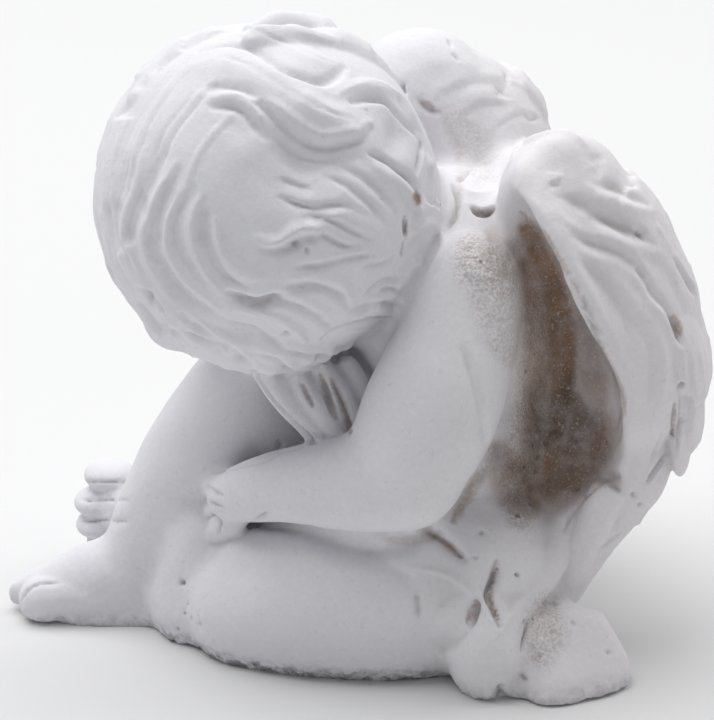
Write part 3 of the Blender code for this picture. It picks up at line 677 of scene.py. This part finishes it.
HAIR_STROKES = [
    (15, 0.8, 0, [(262, 120), (284, 135), (308, 148), (334, 152), (360, 148)]),
    (6, 0.7, 0.2, [(344, 60), (332, 71), (318, 75), (300, 70), (281, 63), (260, 47), (243, 39),
        (222, 39), (199, 44)]),
    (6, 0.4, [(270, 106), (258, 94), (244, 84), (224, 80), (206, 82)]),
    (5.5, 0.5, 0.65, [(258, 98), (270, 106), (282, 116), (294, 124), (307, 131), (320, 136),
        (334, 137), (350, 135), (362, 132), (370, 122)]),
    (5, 0.5, [(263, 128), (252, 114), (242, 104), (228, 99), (211, 100)]),
    (5, 0.35, [(131, 146), (128, 157), (121, 179), (115, 200), (114, 227), (119, 243), (126, 260),
        (135, 277)]),
    (7, 0.45, [(163, 147), (156, 161), (146, 182), (136, 205), (129, 232), (131, 252), (142, 273),
        (154, 288), (166, 300)]),
    (7, 0.5, [(178, 165), (166, 190), (157, 211), (154, 232), (156, 249), (166, 268), (179, 284),
        (193, 296), (212, 308)]),
    (6.5, 0.4, [(192, 184), (180, 200), (176, 220), (178, 240), (188, 261), (202, 278)]),
    (6.5, 0.6, [(206, 208), (203, 230), (209, 248), (216, 263), (228, 275), (243, 281)]),
    (6, 1.2, [(229, 288), (242, 295), (256, 298), (270, 295), (283, 290)]),
    (4, 0.35, [(189, 329), (204, 336), (216, 342)]),
    (4, 0.5, 0.2, [(148, 291), (160, 307), (165, 323), (174, 339), (188, 352)]),
    (6, 0.5, [(256, 369), (243, 358), (229, 347), (212, 336), (196, 323), (182, 311)]),
    (5, 0.8, 0.2, [(423, 143), (417, 128), (407, 115), (396, 103), (384, 93), (369, 91),
        (352, 95)]),
    (4.5, 0.8, 0.2, [(418, 186), (410, 173), (400, 165), (388, 154), (372, 147)]),
    (2, 0.8, [(403, 76), (404, 83), (406, 89)]),
    (3.2, 0.6, [(419, 93), (426, 101), (432, 105), (440, 106)]),
    (3, 1.2, [(423, 138), (420, 152), (417, 166)]),
    (3, 1.6, [(416, 189), (419, 196)]),
    (2.4, 1.1, [(405, 212), (406, 230)]),
    (2.2, 0.8, [(404, 236), (403, 250)]),
    (2.4, 0.8, [(454, 180), (459, 196), (457, 212), (450, 222)]),
    (3.5, 0.3, [(281, 171), (296, 177), (313, 182)]),
    (4, 0.4, [(281, 191), (297, 199), (316, 203), (334, 200), (348, 200)]),
    (5, 0.5, [(262, 245), (282, 244), (300, 236), (322, 230), (334, 236), (346, 241), (362, 240)]),
    (4, 0.35, [(299, 262), (317, 261), (334, 256), (356, 252), (376, 250)]),
    (5, 0.5, [(349, 303), (342, 292), (332, 286), (320, 282), (304, 281), (288, 282)]),
    (5, 0.5, [(330, 324), (319, 313), (307, 306), (294, 301), (280, 297), (264, 298)]),
    (2.2, 0.6, 0.2, [(322, 334), (330, 327), (337, 323), (347, 319), (358, 316), (373, 313),
        (392, 312)]),
    (4, 0.5, [(366, 290), (375, 282), (385, 276), (398, 273)]),
    (3, 0.5, [(381, 286), (390, 284), (400, 287)]),
    (4, 0.35, [(396, 300), (380, 299), (364, 302), (352, 306)]),
    (4, 0.5, [(290, 346), (303, 353), (318, 353), (334, 352)]),
    (3.5, 0.4, [(262, 352), (278, 358), (292, 368)]),
    (4, 0.35, [(330, 168), (344, 176), (360, 190), (374, 202), (384, 216)]),
    (4, 0.35, [(348, 158), (366, 172), (384, 190), (396, 208)]),
    (4, 0.3, [(300, 216), (316, 212), (334, 216), (352, 226), (372, 236)]),
    (4, 0.35, [(366, 262), (384, 258), (398, 250)]),
    (4, 0.3, [(222, 312), (236, 320), (252, 324), (272, 336), (288, 350)]),
    (8, 0.28, 0, [(164, 70), (144, 98), (128, 126), (118, 156), (111, 190)]),
    (8, 0.28, 0, [(200, 88), (178, 112), (162, 138), (152, 164)]),
    (7, 0.28, 0, [(107, 200), (108, 226), (114, 252), (124, 274)]),
]
STRANDS = [stroke for stroke in HAIR_STROKES + HAIR_RIDGES if stroke[0] > 3.8]
HOLLOWS = [  # place and radius in pixels, depth in shares
    (548, 164, 26, 0.5), (600, 196, 14, -0.4), (560, 230, 20, -0.3),
    (290, 164, 42, 1.3), (240, 118, 16, 0.4), (398, 126, 17, 0.9), (392, 140, 14, 0.5),
    (340, 160, 30, 0.4), (296, 240, 3.5, 0.8), (307, 245, 2.6, 0.7), (286, 329, 3, 0.6),
    (420, 248, 14, 0.4), (336, 356, 8, -0.6), (246, 330, 14, 0.3), (143, 293, 9, 1.5),
    (158, 324, 15, -0.9), (566, 138, 22, -1.0),
    (262, 13, 20, 0.8), (290, 13, 24, 0.9), (318, 17, 20, 0.7), (302, 156, 32, 0.8),
    (208, 364, 14, -0.5), (228, 362, 9, -0.5), (270, 366, 9, -0.4),
    (440, 70, 14, 0.3), (500, 100, 18, 0.35), (478, 88, 12, -0.3),
    (520, 80, 10, -0.25), (470, 60, 12, -0.25),
]
WING_STROKES = [
    (7, 0.6, [(562, 190), (582, 199), (598, 206), (614, 215), (634, 226)]),
    (7, 0.6, 0.3, [(650, 198), (631, 189), (618, 183), (600, 180)]),
    (7, 0.6, 0.35, [(655, 240), (640, 229), (628, 225), (612, 217), (594, 211)]),
    (7, 0.5, 0.35, [(645, 270), (628, 252), (612, 244), (592, 238), (575, 228)]),
    (5, 0.55, 0.3, [(684, 340), (676, 318), (668, 303), (656, 290), (641, 266)]),
    (7, -0.4, [(556, 205), (574, 222), (592, 231), (612, 237), (634, 250), (656, 274)]),
    (7, -0.35, [(590, 252), (610, 266), (632, 292), (648, 322)]),
    (7, 0.35, [(588, 262), (606, 280), (622, 304), (634, 334)]),
    (8, 0.3, [(630, 300), (646, 330), (654, 364), (652, 400)]),
    (6, -0.3, [(660, 330), (668, 362), (664, 396)]),
    (7, -0.4, [(516, 180), (530, 194), (544, 208), (564, 240), (582, 272), (600, 303), (613, 330),
        (621, 352), (632, 380), (636, 402), (630, 428), (618, 450)]),
    (5, -0.5, [(510, 160), (520, 143), (538, 132), (562, 130), (584, 140)]),
    (7, 0.4, [(588, 148), (600, 160), (596, 172)]),
    (3, 0.9, [(674, 312), (679, 325), (684, 338)]),
    (3.5, 0.45, 0.2, [(677, 254), (689, 273), (697, 290)]),
    (5, 0.8, [(640, 227), (649, 231)]),
    (5, 0.3, [(598, 149), (606, 154)]),
    (6, -0.4, [(553, 171), (561, 172)]),
    (4, 0.25, [(552, 177), (562, 178)]),
    (2, 0.6, 0.1, [(677, 399), (675, 418), (674, 436)]),
    (1.5, 0.45, 0.1, [(683, 392), (681, 420), (678, 454)]),
    (2.6, 0.6, [(682, 384), (686, 380)]),
    (4, 0.3, 0.15, [(692, 350), (694, 388), (690, 430)]),
    (2.4, 0.6, 0.2, [(669, 452), (660, 465), (649, 480)]),
    (2.4, 0.3, 0.15, [(665, 430), (660, 444), (654, 458)]),
    (2.6, 0.7, [(635, 492), (637, 494)]),
    (1.8, 0.5, [(640, 502), (643, 502)]),
    (5.5, 1.1, 0.15, [(622, 488), (617, 476), (609, 473), (603, 480)]),
    (2, 0.6, 0.1, [(603, 480), (589, 494), (575, 511), (566, 530)]),
    (2.2, 0.6, 0.35, [(600, 572), (618, 548), (636, 527), (652, 506)]),
    (1.6, 0.25, [(596, 552), (612, 540), (624, 530)]),
    (2.6, 0.8, [(577, 486), (579, 488)]),
    (1.8, 0.5, [(450, 33), (453, 40)]),
    (1.6, 0.4, [(454, 47), (460, 54)]),
    (7, 0.5, [(499, 84), (508, 86)]),
    (3, 0.5, [(507, 68), (509, 76)]),
    (1.6, 0.35, [(526, 111), (532, 115), (540, 112)]),
    (6, 0.18, 0.1, [(438, 94), (462, 82), (500, 76), (522, 84)]),
    (5, 0.16, 0.1, [(462, 112), (484, 100), (512, 98)]),
    (4, 0.14, 0.1, [(496, 124), (520, 110), (540, 112)]),
    (2, 0.6, [(472, 163), (466, 170), (460, 176)]),
    (3.2, 1.5, 0.3, [(474, 203), (480, 208), (487, 208), (494, 204)]),
    (5, -0.35, [(463, 184), (480, 189), (503, 184)]),
]
BODY_STROKES = [
    (6, 0.5, 0.15, [(464, 346), (474, 378), (482, 412), (487, 443)]),
    (2, 0.3, 0.1, [(210, 472), (226, 468), (242, 464), (266, 458), (280, 450), (300, 445),
        (318, 440)]),
    (1.6, 0.35, [(275, 450), (280, 443), (277, 437)]),
    (8, 0.7, [(250, 520), (266, 523), (284, 524), (306, 529), (334, 541), (368, 548), (404, 545),
        (430, 534)]),
    (3, 0.7, [(248, 526), (258, 518), (268, 511)]),
    (2, 0.5, [(206, 484), (214, 490), (222, 494)]),
    (2, 0.5, [(206, 500), (214, 503), (222, 505)]),
    (2, 0.6, [(206, 517), (212, 514), (219, 519), (218, 532)]),
    (2.2, 0.5, [(302, 380), (308, 393), (314, 404)]),
    (2.4, 0.9, [(332, 378), (340, 398), (347, 416), (351, 430)]),
    (2.4, 0.8, [(320, 372), (327, 392), (333, 412)]),
    (4, 1.2, [(288, 418), (300, 428), (314, 440)]),
    (2, 0.3, 0.25, [(322, 436), (291, 414), (266, 388), (254, 366)]),
    (1.6, 0.5, [(56, 583), (44, 582), (36, 583), (28, 587), (22, 594), (18, 602)]),
    (1.4, 0.4, [(128, 481), (100, 481), (80, 481)]),
    (1.4, 0.45, [(128, 499), (100, 499), (78, 499)]),
    (1.4, 0.4, [(128, 520), (100, 520), (80, 521)]),
    (2, 0.6, [(86, 499), (88, 500)]),
    (8, 0.35, [(305, 533), (335, 540), (363, 549), (384, 560), (401, 574), (417, 595)]),
    (3.5, 0.55, [(417, 592), (418, 604), (419, 616)]),
    (2.2, 1.1, [(180, 582), (182, 582)]),
]
CLOTH_STROKES = [
    (5.5, 1.3, [(422, 528), (434, 533), (443, 538), (453, 547), (465, 558)]),
    (4.5, 1.9, [(498, 560), (495, 577), (490, 594), (495, 606), (501, 625)]),
    (4.5, 1.5, [(479, 598), (474, 610), (468, 622)]),
    (8, 0.8, [(476, 606), (468, 624), (458, 638), (444, 650)]),
    (2, 0.9, [(529, 619), (526, 635), (522, 651)]),
    (2.6, 0.7, [(523, 674), (527, 681)]),
    (4, 1, [(502, 686), (502, 700)]),
    (1.8, 0.9, [(517, 574), (519, 574)]),
    (2.2, 0.6, [(481, 529), (483, 532)]),
    (1.6, 0.5, [(475, 556), (477, 556)]),
    (3, -0.4, [(413, 566), (443, 572), (464, 584), (479, 599), (492, 617), (501, 632)]),
    (3, -0.4, [(540, 590), (522, 604), (510, 618), (502, 632)]),
]
PITS = [(545, 602), (556, 603), (558, 623), (553, 631), (574, 622), (582, 625), (536, 661),
        (541, 654), (183, 612), (190, 618), (198, 624), (186, 604), (176, 628), (610, 652)]

# Across, up and forward of the face, and depth
EYELID = ((4, -2.8, 19.8, 0.5), (6.4, -3.4, 19.6, 0.6), (8.6, -2.8, 18.6, 0.5))
LIPS = ((-2.6, -10.6, 19.6, 0.5), (0, -10.6, 20.6, 0.7), (2.6, -10.6, 19.6, 0.5))
FACE_LINE = 0.5  # half width of the lines of the eyes and mouth
PIT_WIDE, PIT_DEEP = 1.6, 0.5  # half width in pixels and depth of a pit
STRAND = (1.8, 0.1, 0.0)  # half width in pixels, depth and lip of a strand beside a stroke
STRAND_ASIDE = 5  # pixels from the stroke to a strand beside it
ALONG_LOCK = (0.8, 0.2, 0.05)  # half width, depth and lip of the grooves along a lock
LOCK_ASIDE = 0.9 * 2.6  # how far these lie off the lock's middle, degrees
OUTSIDE = 0.045  # from the middle of the skull to a place outside all hair, metres


def parted(stroke, usual):
    """Half width, depth, lip and way of a stroke, which has the usual lip if it gives none."""
    half, deep, *lip, way = stroke
    return half, deep, lip[0] if lip else usual, way


def onto(way):
    """Where the skin of the head lies in a direction from the middle of the skull."""
    middle = Vector(HEAD) * UNIT
    way = Vector(way).normalized()
    spot = cover.ray_cast(middle + way * OUTSIDE, -way)[0]
    return np.array(spot) / UNIT


def face_line(spots):
    """A fine line drawn on the face."""
    return smooth_row([(*at_face(*spot[:3]), FACE_LINE, spot[3], 0) for spot in spots], 9)


cover = BVHTree.FromBMesh(clay)
strokes = []
for usual_lip, group in ((0.0, HAIR_RIDGES), (0.1, HAIR_STROKES),
                         (0.0, WING_STROKES + BODY_STROKES + CLOTH_STROKES)):
    for stroke in group:
        strokes += drawn(cover, *parted(stroke, usual_lip))
for *_, way in STRANDS:
    for aside in (-STRAND_ASIDE, STRAND_ASIDE):
        strokes += drawn(cover, *STRAND, [(x + aside, y + 0.3 * aside) for x, y in way])
for i, (x, y) in enumerate(PITS):
    half = PIT_WIDE + 0.5 * math.sin(2.1 * i)
    strokes += drawn(cover, half, PIT_DEEP, 0.0, [(x, y), (x + 1, y + 1)])
strokes += [np.array([(*row, 0.0) for row in smooth_row(rows, 9)]) for rows in shafts]
for side in (-1, 1):
    strokes.append(face_line([(side * across, *rest) for across, *rest in EYELID]))
strokes.append(face_line(LIPS))
for way in wreath:
    for side in (-1, 1):
        half, deep, lip = ALONG_LOCK
        rows = []
        for step, spot in enumerate(way):
            turned = unit(spot + FORWARD * math.radians(side * LOCK_ASIDE))
            rows.append((*onto(turned), half, deep * math.sin(0.5 * (step + 0.6)), lip))
        strokes.append(smooth_row(rows, 25))

skin = bpy.data.meshes.new("skin")
clay.to_mesh(skin)
clay.free()
forms.free()
spots = column(skin.vertices, "co", 3).astype(float) / UNIT
facing = column(skin.vertex_normals, "vector", 3).astype(float)
spots -= facing * (carve(spots, facing, strokes) + dents(cover, spots, HOLLOWS))[:, None]

# Where the casting is gritty, and where dirt has settled and painted shade darkens cracks, crevices
# and gaps: half width, strength, way in pixels

GRIT = [
    (30, 1, [(474, 244), (488, 262), (506, 280)]),
    (24, 0.7, [(480, 270), (500, 310), (512, 350)]),
    (24, 1, [(528, 240), (538, 300), (542, 360), (532, 430), (515, 470), (522, 514)]),
    (22, 1, [(560, 320), (566, 420), (548, 480)]),
    (20, 0.9, [(598, 430), (585, 470), (560, 495)]),
    (18, 0.4, [(458, 112), (474, 140), (482, 168)]),
    (22, 0.8, [(546, 604), (546, 630), (542, 655)]),
]
# Settled dirt in the hollow, and painted shade in its depths, in cracks, cloth creases, crevices
# and between the fingers
SOIL_AND_SHADE = [
    (16, 1, [(529, 224), (541, 250), (552, 276), (561, 310), (565, 350), (563, 390), (556, 430),
        (550, 468)]),
    (24, 0.75, [(532, 262), (545, 340), (548, 400), (540, 450), (528, 478)]),
    (30, 0.9, [(598, 424), (584, 452), (556, 474), (522, 470)]),
    (17, 0.62, [(562, 290), (582, 330), (594, 370), (598, 408)]),
    (20, 0.9, [(574, 398), (584, 430), (570, 458)]),
    (24, 0.7, [(500, 452), (514, 480), (532, 500)]),
    (3.5, 0.5, [(522, 207), (546, 228), (566, 262), (588, 303), (603, 345), (620, 380), (626, 402),
        (616, 430)]),
    (20, 0.35, [(496, 236), (512, 264)]),
    (5, 0.7, [(490, 456), (480, 474), (468, 494), (454, 518)]),
    (2.8, 0.8, [(428, 532), (443, 539), (462, 556)]),
    (6, 0.35, [(392, 539), (418, 538), (440, 532)]),
    (2.6, 0.9, [(497, 568), (491, 594), (499, 618)]),
    (2.6, 0.8, [(478, 600), (473, 610), (468, 620)]),
    (3.5, 0.8, [(476, 206), (487, 210), (494, 205)]),
    (5, 0.7, [(676, 314), (682, 330)]),
    (4, 0.22, [(440, 106), (458, 140), (460, 190), (450, 222)]),
    (4, 0.9, [(416, 188), (420, 197)]),
    (2.5, 0.8, [(405, 212), (406, 230)]),
    (4, 0.45, [(424, 96), (434, 103)]),
    (3, 0.5, [(677, 402), (675, 432)]),
    (4, 0.5, [(604, 476), (620, 488)]),
    (3.5, 0.5, [(302, 382), (312, 402)]),
    (4, 0.5, [(320, 372), (328, 394), (336, 414)]),
    (4.5, 0.55, [(332, 376), (342, 400), (350, 428)]),
    (4, 0.25, [(234, 291), (256, 299), (270, 295)]),
]
RIM = [(34, 1, [(176, 630), (215, 655), (260, 670), (340, 676), (422, 672)])]
UNEVEN = ((0.16, 0.2), (0.45, 0.07))  # how fine and how deep the whole skin is uneven
SANDY = ((1.9, 0.16), (0.8, 0.2))  # and the gritty places
RAGGED, CRUMBS = (0.9, 0.3), (1.7, 0.35)  # and the lower rim
RIM_TOP = 3.4  # the lower rim is rough up to this height,
RIM_MIDDLE, RIM_FADE = 0.6, 2.6  # and most at this one, fading over this distance


def rough(spot, fine, deep):
    """How far the skin is off its even form at a spot."""
    return noise.noise(spot * fine) * deep


grit = patches(cover, spots, GRIT)
for i in range(len(spots)):
    spot = Vector(spots[i])
    uneven = sum(rough(spot, *step) for step in UNEVEN)
    if grit[i] > 0.02:
        uneven += sum(rough(spot, *step) for step in SANDY) * grit[i]
    spots[i] -= facing[i] * uneven
for i in np.nonzero(spots[:, 2] < RIM_TOP)[0]:
    spot = Vector(spots[i])
    near = max(0.0, 1 - abs(spots[i, 2] - RIM_MIDDLE) / RIM_FADE)
    spots[i] -= facing[i] * (rough(spot, *RAGGED) + max(0, rough(spot, *CRUMBS))) * near
skin.vertices.foreach_set("co", (spots * UNIT).astype(np.float32).ravel())
skin.update()


# The finished skin, thinned out, ground flat below and set in the solid's place

def thin_out(clay_object):
    thin = clay_object.modifiers.new("thin", "DECIMATE")
    thin.ratio = min(1.0, SURFACE / (2.0 * len(skin.polygons)))


skin = finished(skin, thin_out)
solid = bmesh.new()
solid.from_mesh(skin)
bmesh.ops.bisect_plane(solid, geom=solid.verts[:] + solid.edges[:] + solid.faces[:],
                       plane_co=(0, 0, 0), plane_no=(0, 0, -1), dist=1e-7, clear_outer=True)
open_edge = [e for e in solid.edges if e.is_boundary]
bmesh.ops.holes_fill(solid, edges=open_edge, sides=0)
bmesh.ops.triangulate(solid, faces=[f for f in solid.faces if len(f.verts) > 4])
bmesh.ops.recalc_face_normals(solid, faces=solid.faces)
solid.to_mesh(skin)
solid.free()

spots = np.array([v.co for v in skin.vertices]) / UNIT
low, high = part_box("angel_figurine")
own_low, own_high = spots.min(0) * UNIT, spots.max(0) * UNIT
fit = (np.array(high) - np.array(low)) / (own_high - own_low)
move = np.array(low) - own_low * fit


def hollowness(mesh, rounds):
    """How deep each point lies below its surroundings, averaged over so many rounds."""
    a, b = column(mesh.edges, "vertices", 2, np.int32).T
    number = len(mesh.vertices)
    shared = np.maximum(np.bincount(a, minlength=number) + np.bincount(b, minlength=number), 1)
    smooth = spots.copy()
    for _ in range(rounds):
        mean = np.empty_like(smooth)
        for axis in range(3):
            mean[:, axis] = (np.bincount(a, smooth[b, axis], number)
                             + np.bincount(b, smooth[a, axis], number)) / shared
        smooth = 0.5 * smooth + 0.5 * mean
    return np.einsum("ij,ij->i", smooth - spots, column(mesh.vertex_normals, "vector", 3))


def mark(mesh, name, values):
    layer = mesh.attributes.new(name, "FLOAT", "POINT")
    layer.data.foreach_set("value", np.clip(values, 0, 1).astype(np.float32))


CREASE_ROUNDS = 14  # rounds of averaging that find a crease
CREASE_DEPTH = 0.35  # a crease this deep gets the full painted shade
FOOT_HEIGHT = 2.2  # how far dirt creeps up from the ground
standing = np.clip(1.2 - spots[:, 2] / FOOT_HEIGHT, 0, 1)
# The crease mask carries painted shade: the deeper a crease lies, the darker it is painted
mark(skin, "crease", hollowness(skin, CREASE_ROUNDS) / CREASE_DEPTH)
mark(skin, "grit", patches(cover, spots, GRIT))
# Dirt together with painted shade in the hollow, cracks, crevices and between the fingers
mark(skin, "soil_and_shade", patches(cover, spots, SOIL_AND_SHADE))
mark(skin, "foot", standing * np.maximum(0.3, patches(cover, spots, RIM)))
skin.vertices.foreach_set("co", (spots * UNIT * fit + move).astype(np.float32).ravel())
skin.update()


# Cast plaster: pale, chalky, gritty in the hollow, with pinholes, settled dirt and painted shade in
# creases, cracks and pinholes

PLASTER, CHALK, WARM = (0.725, 0.725, 0.76), (0.785, 0.78, 0.81), (0.78, 0.74, 0.735)
LIGHT_GRAIN, DARK_GRAIN, SAND = (0.84, 0.83, 0.85), (0.58, 0.57, 0.59), (0.50, 0.44, 0.41)
# In this row the first colour is painted shade for the creases, and the last darkens the pinholes
# with dirt and painted shade
CREASE_SHADE, FOOT_DIRT, PIN_DIRT_AND_SHADE = (0.42, 0.38, 0.36), (0.16, 0.145, 0.14), (0.22, 0.2, 0.19)
# The earth colours serve both settled dirt and painted shade in the hollow, cracks and gaps between
# parts
EARTH_AND_SHADE, DARK_EARTH_AND_SHADE, DRY_EARTH = (0.30, 0.17, 0.09), (0.13, 0.08, 0.052), (0.52, 0.45, 0.38)
GRAIN_HIGH, LUMP_HIGH, SAND_HIGH, PIN_DEEP = 0.00007, 0.00006, 0.00035, 0.0003  # metres
PINHOLES = 420.0  # how densely the pinholes lie


def material(name):
    """A new material, its nodes and the shader that gives its look."""
    stuff = bpy.data.materials.new(name)
    stuff.use_nodes = True
    return stuff, stuff.node_tree, stuff.node_tree.nodes["Principled BSDF"]


def link(tree, node, socket, target, entry):
    tree.links.new(node.outputs[socket], target.inputs[entry])


def cast_plaster():
    stuff, tree, look = material("cast plaster")
    look.inputs["Metallic"].default_value = 0.0
    look.inputs["Specular IOR Level"].default_value = 0.3
    place = tree.nodes.new("ShaderNodeTexCoord")

    def made(kind, **settings):
        """A node with these inputs set; an underscore stands for a space."""
        node = tree.nodes.new("ShaderNode" + kind)
        for name, value in settings.items():
            node.inputs[name.replace("_", " ")].default_value = value
        return node

    def speckle(scale, detail=2.0, rough=0.5):
        node = made("TexNoise", Scale=scale, Detail=detail, Roughness=rough)
        link(tree, place, "Object", node, "Vector")
        return node.outputs["Fac"]

    def stretch(value, low, high, to_low=0.0, to_high=1.0):
        node = made("MapRange", From_Min=low, From_Max=high, To_Min=to_low, To_Max=to_high)
        tree.links.new(value, node.inputs["Value"])
        return node.outputs["Result"]

    def reckon(kind, a, b):
        node = tree.nodes.new("ShaderNodeMath")
        node.operation = kind
        for entry, value in zip(node.inputs, (a, b)):
            if isinstance(value, (int, float)):
                entry.default_value = value
            else:
                tree.links.new(value, entry)
        return node.outputs[0]

    def times(a, b):
        return reckon("MULTIPLY", a, b)

    def over(base, colour, amount):
        node = tree.nodes.new("ShaderNodeMix")
        node.data_type = "RGBA"
        tree.links.new(amount, node.inputs["Factor"])
        for entry, value in ((node.inputs[6], base), (node.inputs[7], colour)):
            if isinstance(value, tuple):
                entry.default_value = (*value, 1)
            else:
                tree.links.new(value, entry)
        return node.outputs[2]

    def marked(name):
        node = tree.nodes.new("ShaderNodeAttribute")
        node.attribute_type = "GEOMETRY"
        node.attribute_name = name
        return node.outputs["Fac"]

    holes = made("TexVoronoi", Scale=PINHOLES)
    link(tree, place, "Object", holes, "Vector")
    pin = stretch(holes.outputs["Distance"], 0.1, 0.16, 1.0, 0.0)
    coarse = reckon("MAXIMUM", marked("grit"), marked("foot"))
    pin = times(pin, times(coarse, stretch(speckle(160, 1), 0.45, 0.55)))

    grain = speckle(1500, 3, 0.6)
    cloud = speckle(45, 4, 0.55)
    parts = tree.nodes.new("ShaderNodeSeparateXYZ")
    link(tree, place, "Object", parts, "Vector")
    colour = over(PLASTER, CHALK, stretch(cloud, 0.3, 0.7))
    colour = over(colour, WARM, stretch(parts.outputs["X"], -0.002, 0.032, 0.0, 0.55))
    colour = over(colour, LIGHT_GRAIN, stretch(grain, 0.45, 0.75, 0.0, 0.5))
    colour = over(colour, DARK_GRAIN, stretch(speckle(1100, 3, 0.7), 0.4, 0.22, 0.0, 0.55))
    # Painted shade: creases are darkened towards a brownish grey
    crease_shade = times(marked("crease"), stretch(speckle(500, 2), 0.3, 0.6, 0.5, 1.0))
    colour = over(colour, CREASE_SHADE, times(crease_shade, 0.45))
    sandy = stretch(speckle(2600, 2, 0.6), 0.40, 0.62, 0.1, 0.85)
    colour = over(colour, SAND, times(marked("grit"), sandy))
    # Dirt and painted shade: brown earth to near black in the hollow, cracks and gaps between parts
    soil_and_shade = times(marked("soil_and_shade"), stretch(speckle(380, 5, 0.7), 0.32, 0.58, 0.6, 1.0))
    earth_and_shade = over(EARTH_AND_SHADE, DARK_EARTH_AND_SHADE, stretch(speckle(120, 2), 0.4, 0.6))
    earth_and_shade = over(earth_and_shade, DRY_EARTH, stretch(speckle(2600, 2), 0.58, 0.72))
    colour = over(colour, earth_and_shade, times(soil_and_shade, 0.93))
    foot = times(marked("foot"), stretch(speckle(700, 3, 0.7), 0.42, 0.6))
    colour = over(colour, FOOT_DIRT, times(foot, 0.8))
    # Dirt and painted shade inside the pinholes
    colour = over(colour, PIN_DIRT_AND_SHADE, times(pin, 0.85))
    tree.links.new(colour, look.inputs["Base Color"])
    tree.links.new(stretch(cloud, 0.3, 0.7, 0.78, 0.95), look.inputs["Roughness"])

    relief = times(grain, GRAIN_HIGH)
    relief = reckon("ADD", relief, times(speckle(420, 3), LUMP_HIGH))
    sand = times(speckle(2300, 2, 0.6), times(marked("grit"), SAND_HIGH))
    relief = reckon("ADD", relief, sand)
    relief = reckon("SUBTRACT", relief, times(pin, PIN_DEEP))
    relief = reckon("SUBTRACT", relief, times(foot, PIN_DEEP))
    bump = made("Bump", Strength=0.8, Distance=1.0)
    tree.links.new(relief, bump.inputs["Height"])
    link(tree, bump, "Normal", look, "Normal")
    return stuff


skin.name = "cherub"
skin.materials.clear()
skin.materials.append(cast_plaster())
skin.polygons.foreach_set("use_smooth", np.ones(len(skin.polygons), bool))
cherub = placed("cherub", skin)
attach(cherub, "root")
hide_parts("angel_figurine")


# Floor, light and camera

def plain(name, colour, roughness):
    stuff, _, look = material(name)
    look.inputs["Base Color"].default_value = (*colour, 1)
    look.inputs["Roughness"].default_value = roughness
    return stuff


floor_mesh = bpy.data.meshes.new("floor")
floor_mesh.from_pydata([(FLOOR * x, FLOOR * y, 0) for x, y in ((-1, -1), (1, -1), (1, 1), (-1, 1))],
                       [], [(0, 1, 2, 3)])
floor_mesh.materials.append(plain("pale floor", (0.74, 0.74, 0.74), 0.9))
floor = placed("floor", floor_mesh)

world = bpy.data.worlds.new("studio")
world.use_nodes = True
world.node_tree.nodes["Background"].inputs["Color"].default_value = (0.96, 0.97, 1.0, 1)
world.node_tree.nodes["Background"].inputs["Strength"].default_value = 0.31
bpy.context.scene.world = world


def lamp(name, spot, size, power, aim=(0, 0, 0.035)):
    """A square soft light of the given size and power, turned to its aim."""
    light = bpy.data.lights.new(name, "AREA")
    light.shape = "SQUARE"
    light.size = size
    light.energy = power
    thing = placed(name, light)
    thing.location = spot
    way = Vector(aim) - Vector(spot)
    thing.rotation_euler = way.to_track_quat("-Z", "Y").to_euler()


lamp("key", (-0.34, 0.2, 1.06), 1.2, 13.4)
lamp("side", (0.6, 0.3, 0.85), 0.9, 4.0)
bpy.context.scene.view_settings.view_transform = "Standard"

camera = placed("camera", bpy.data.cameras.new("camera"))
camera.data.sensor_fit = "HORIZONTAL"
camera.data.sensor_width = SENSOR
camera.data.lens = SENSOR * EYE_AWAY / (WIDE * PIXEL)
camera.data.clip_start = 0.01
camera.location = EYE * UNIT + move
camera.rotation_euler = Vector(AHEAD).to_track_quat("-Z", "Y").to_euler()
bpy.context.scene.camera = camera
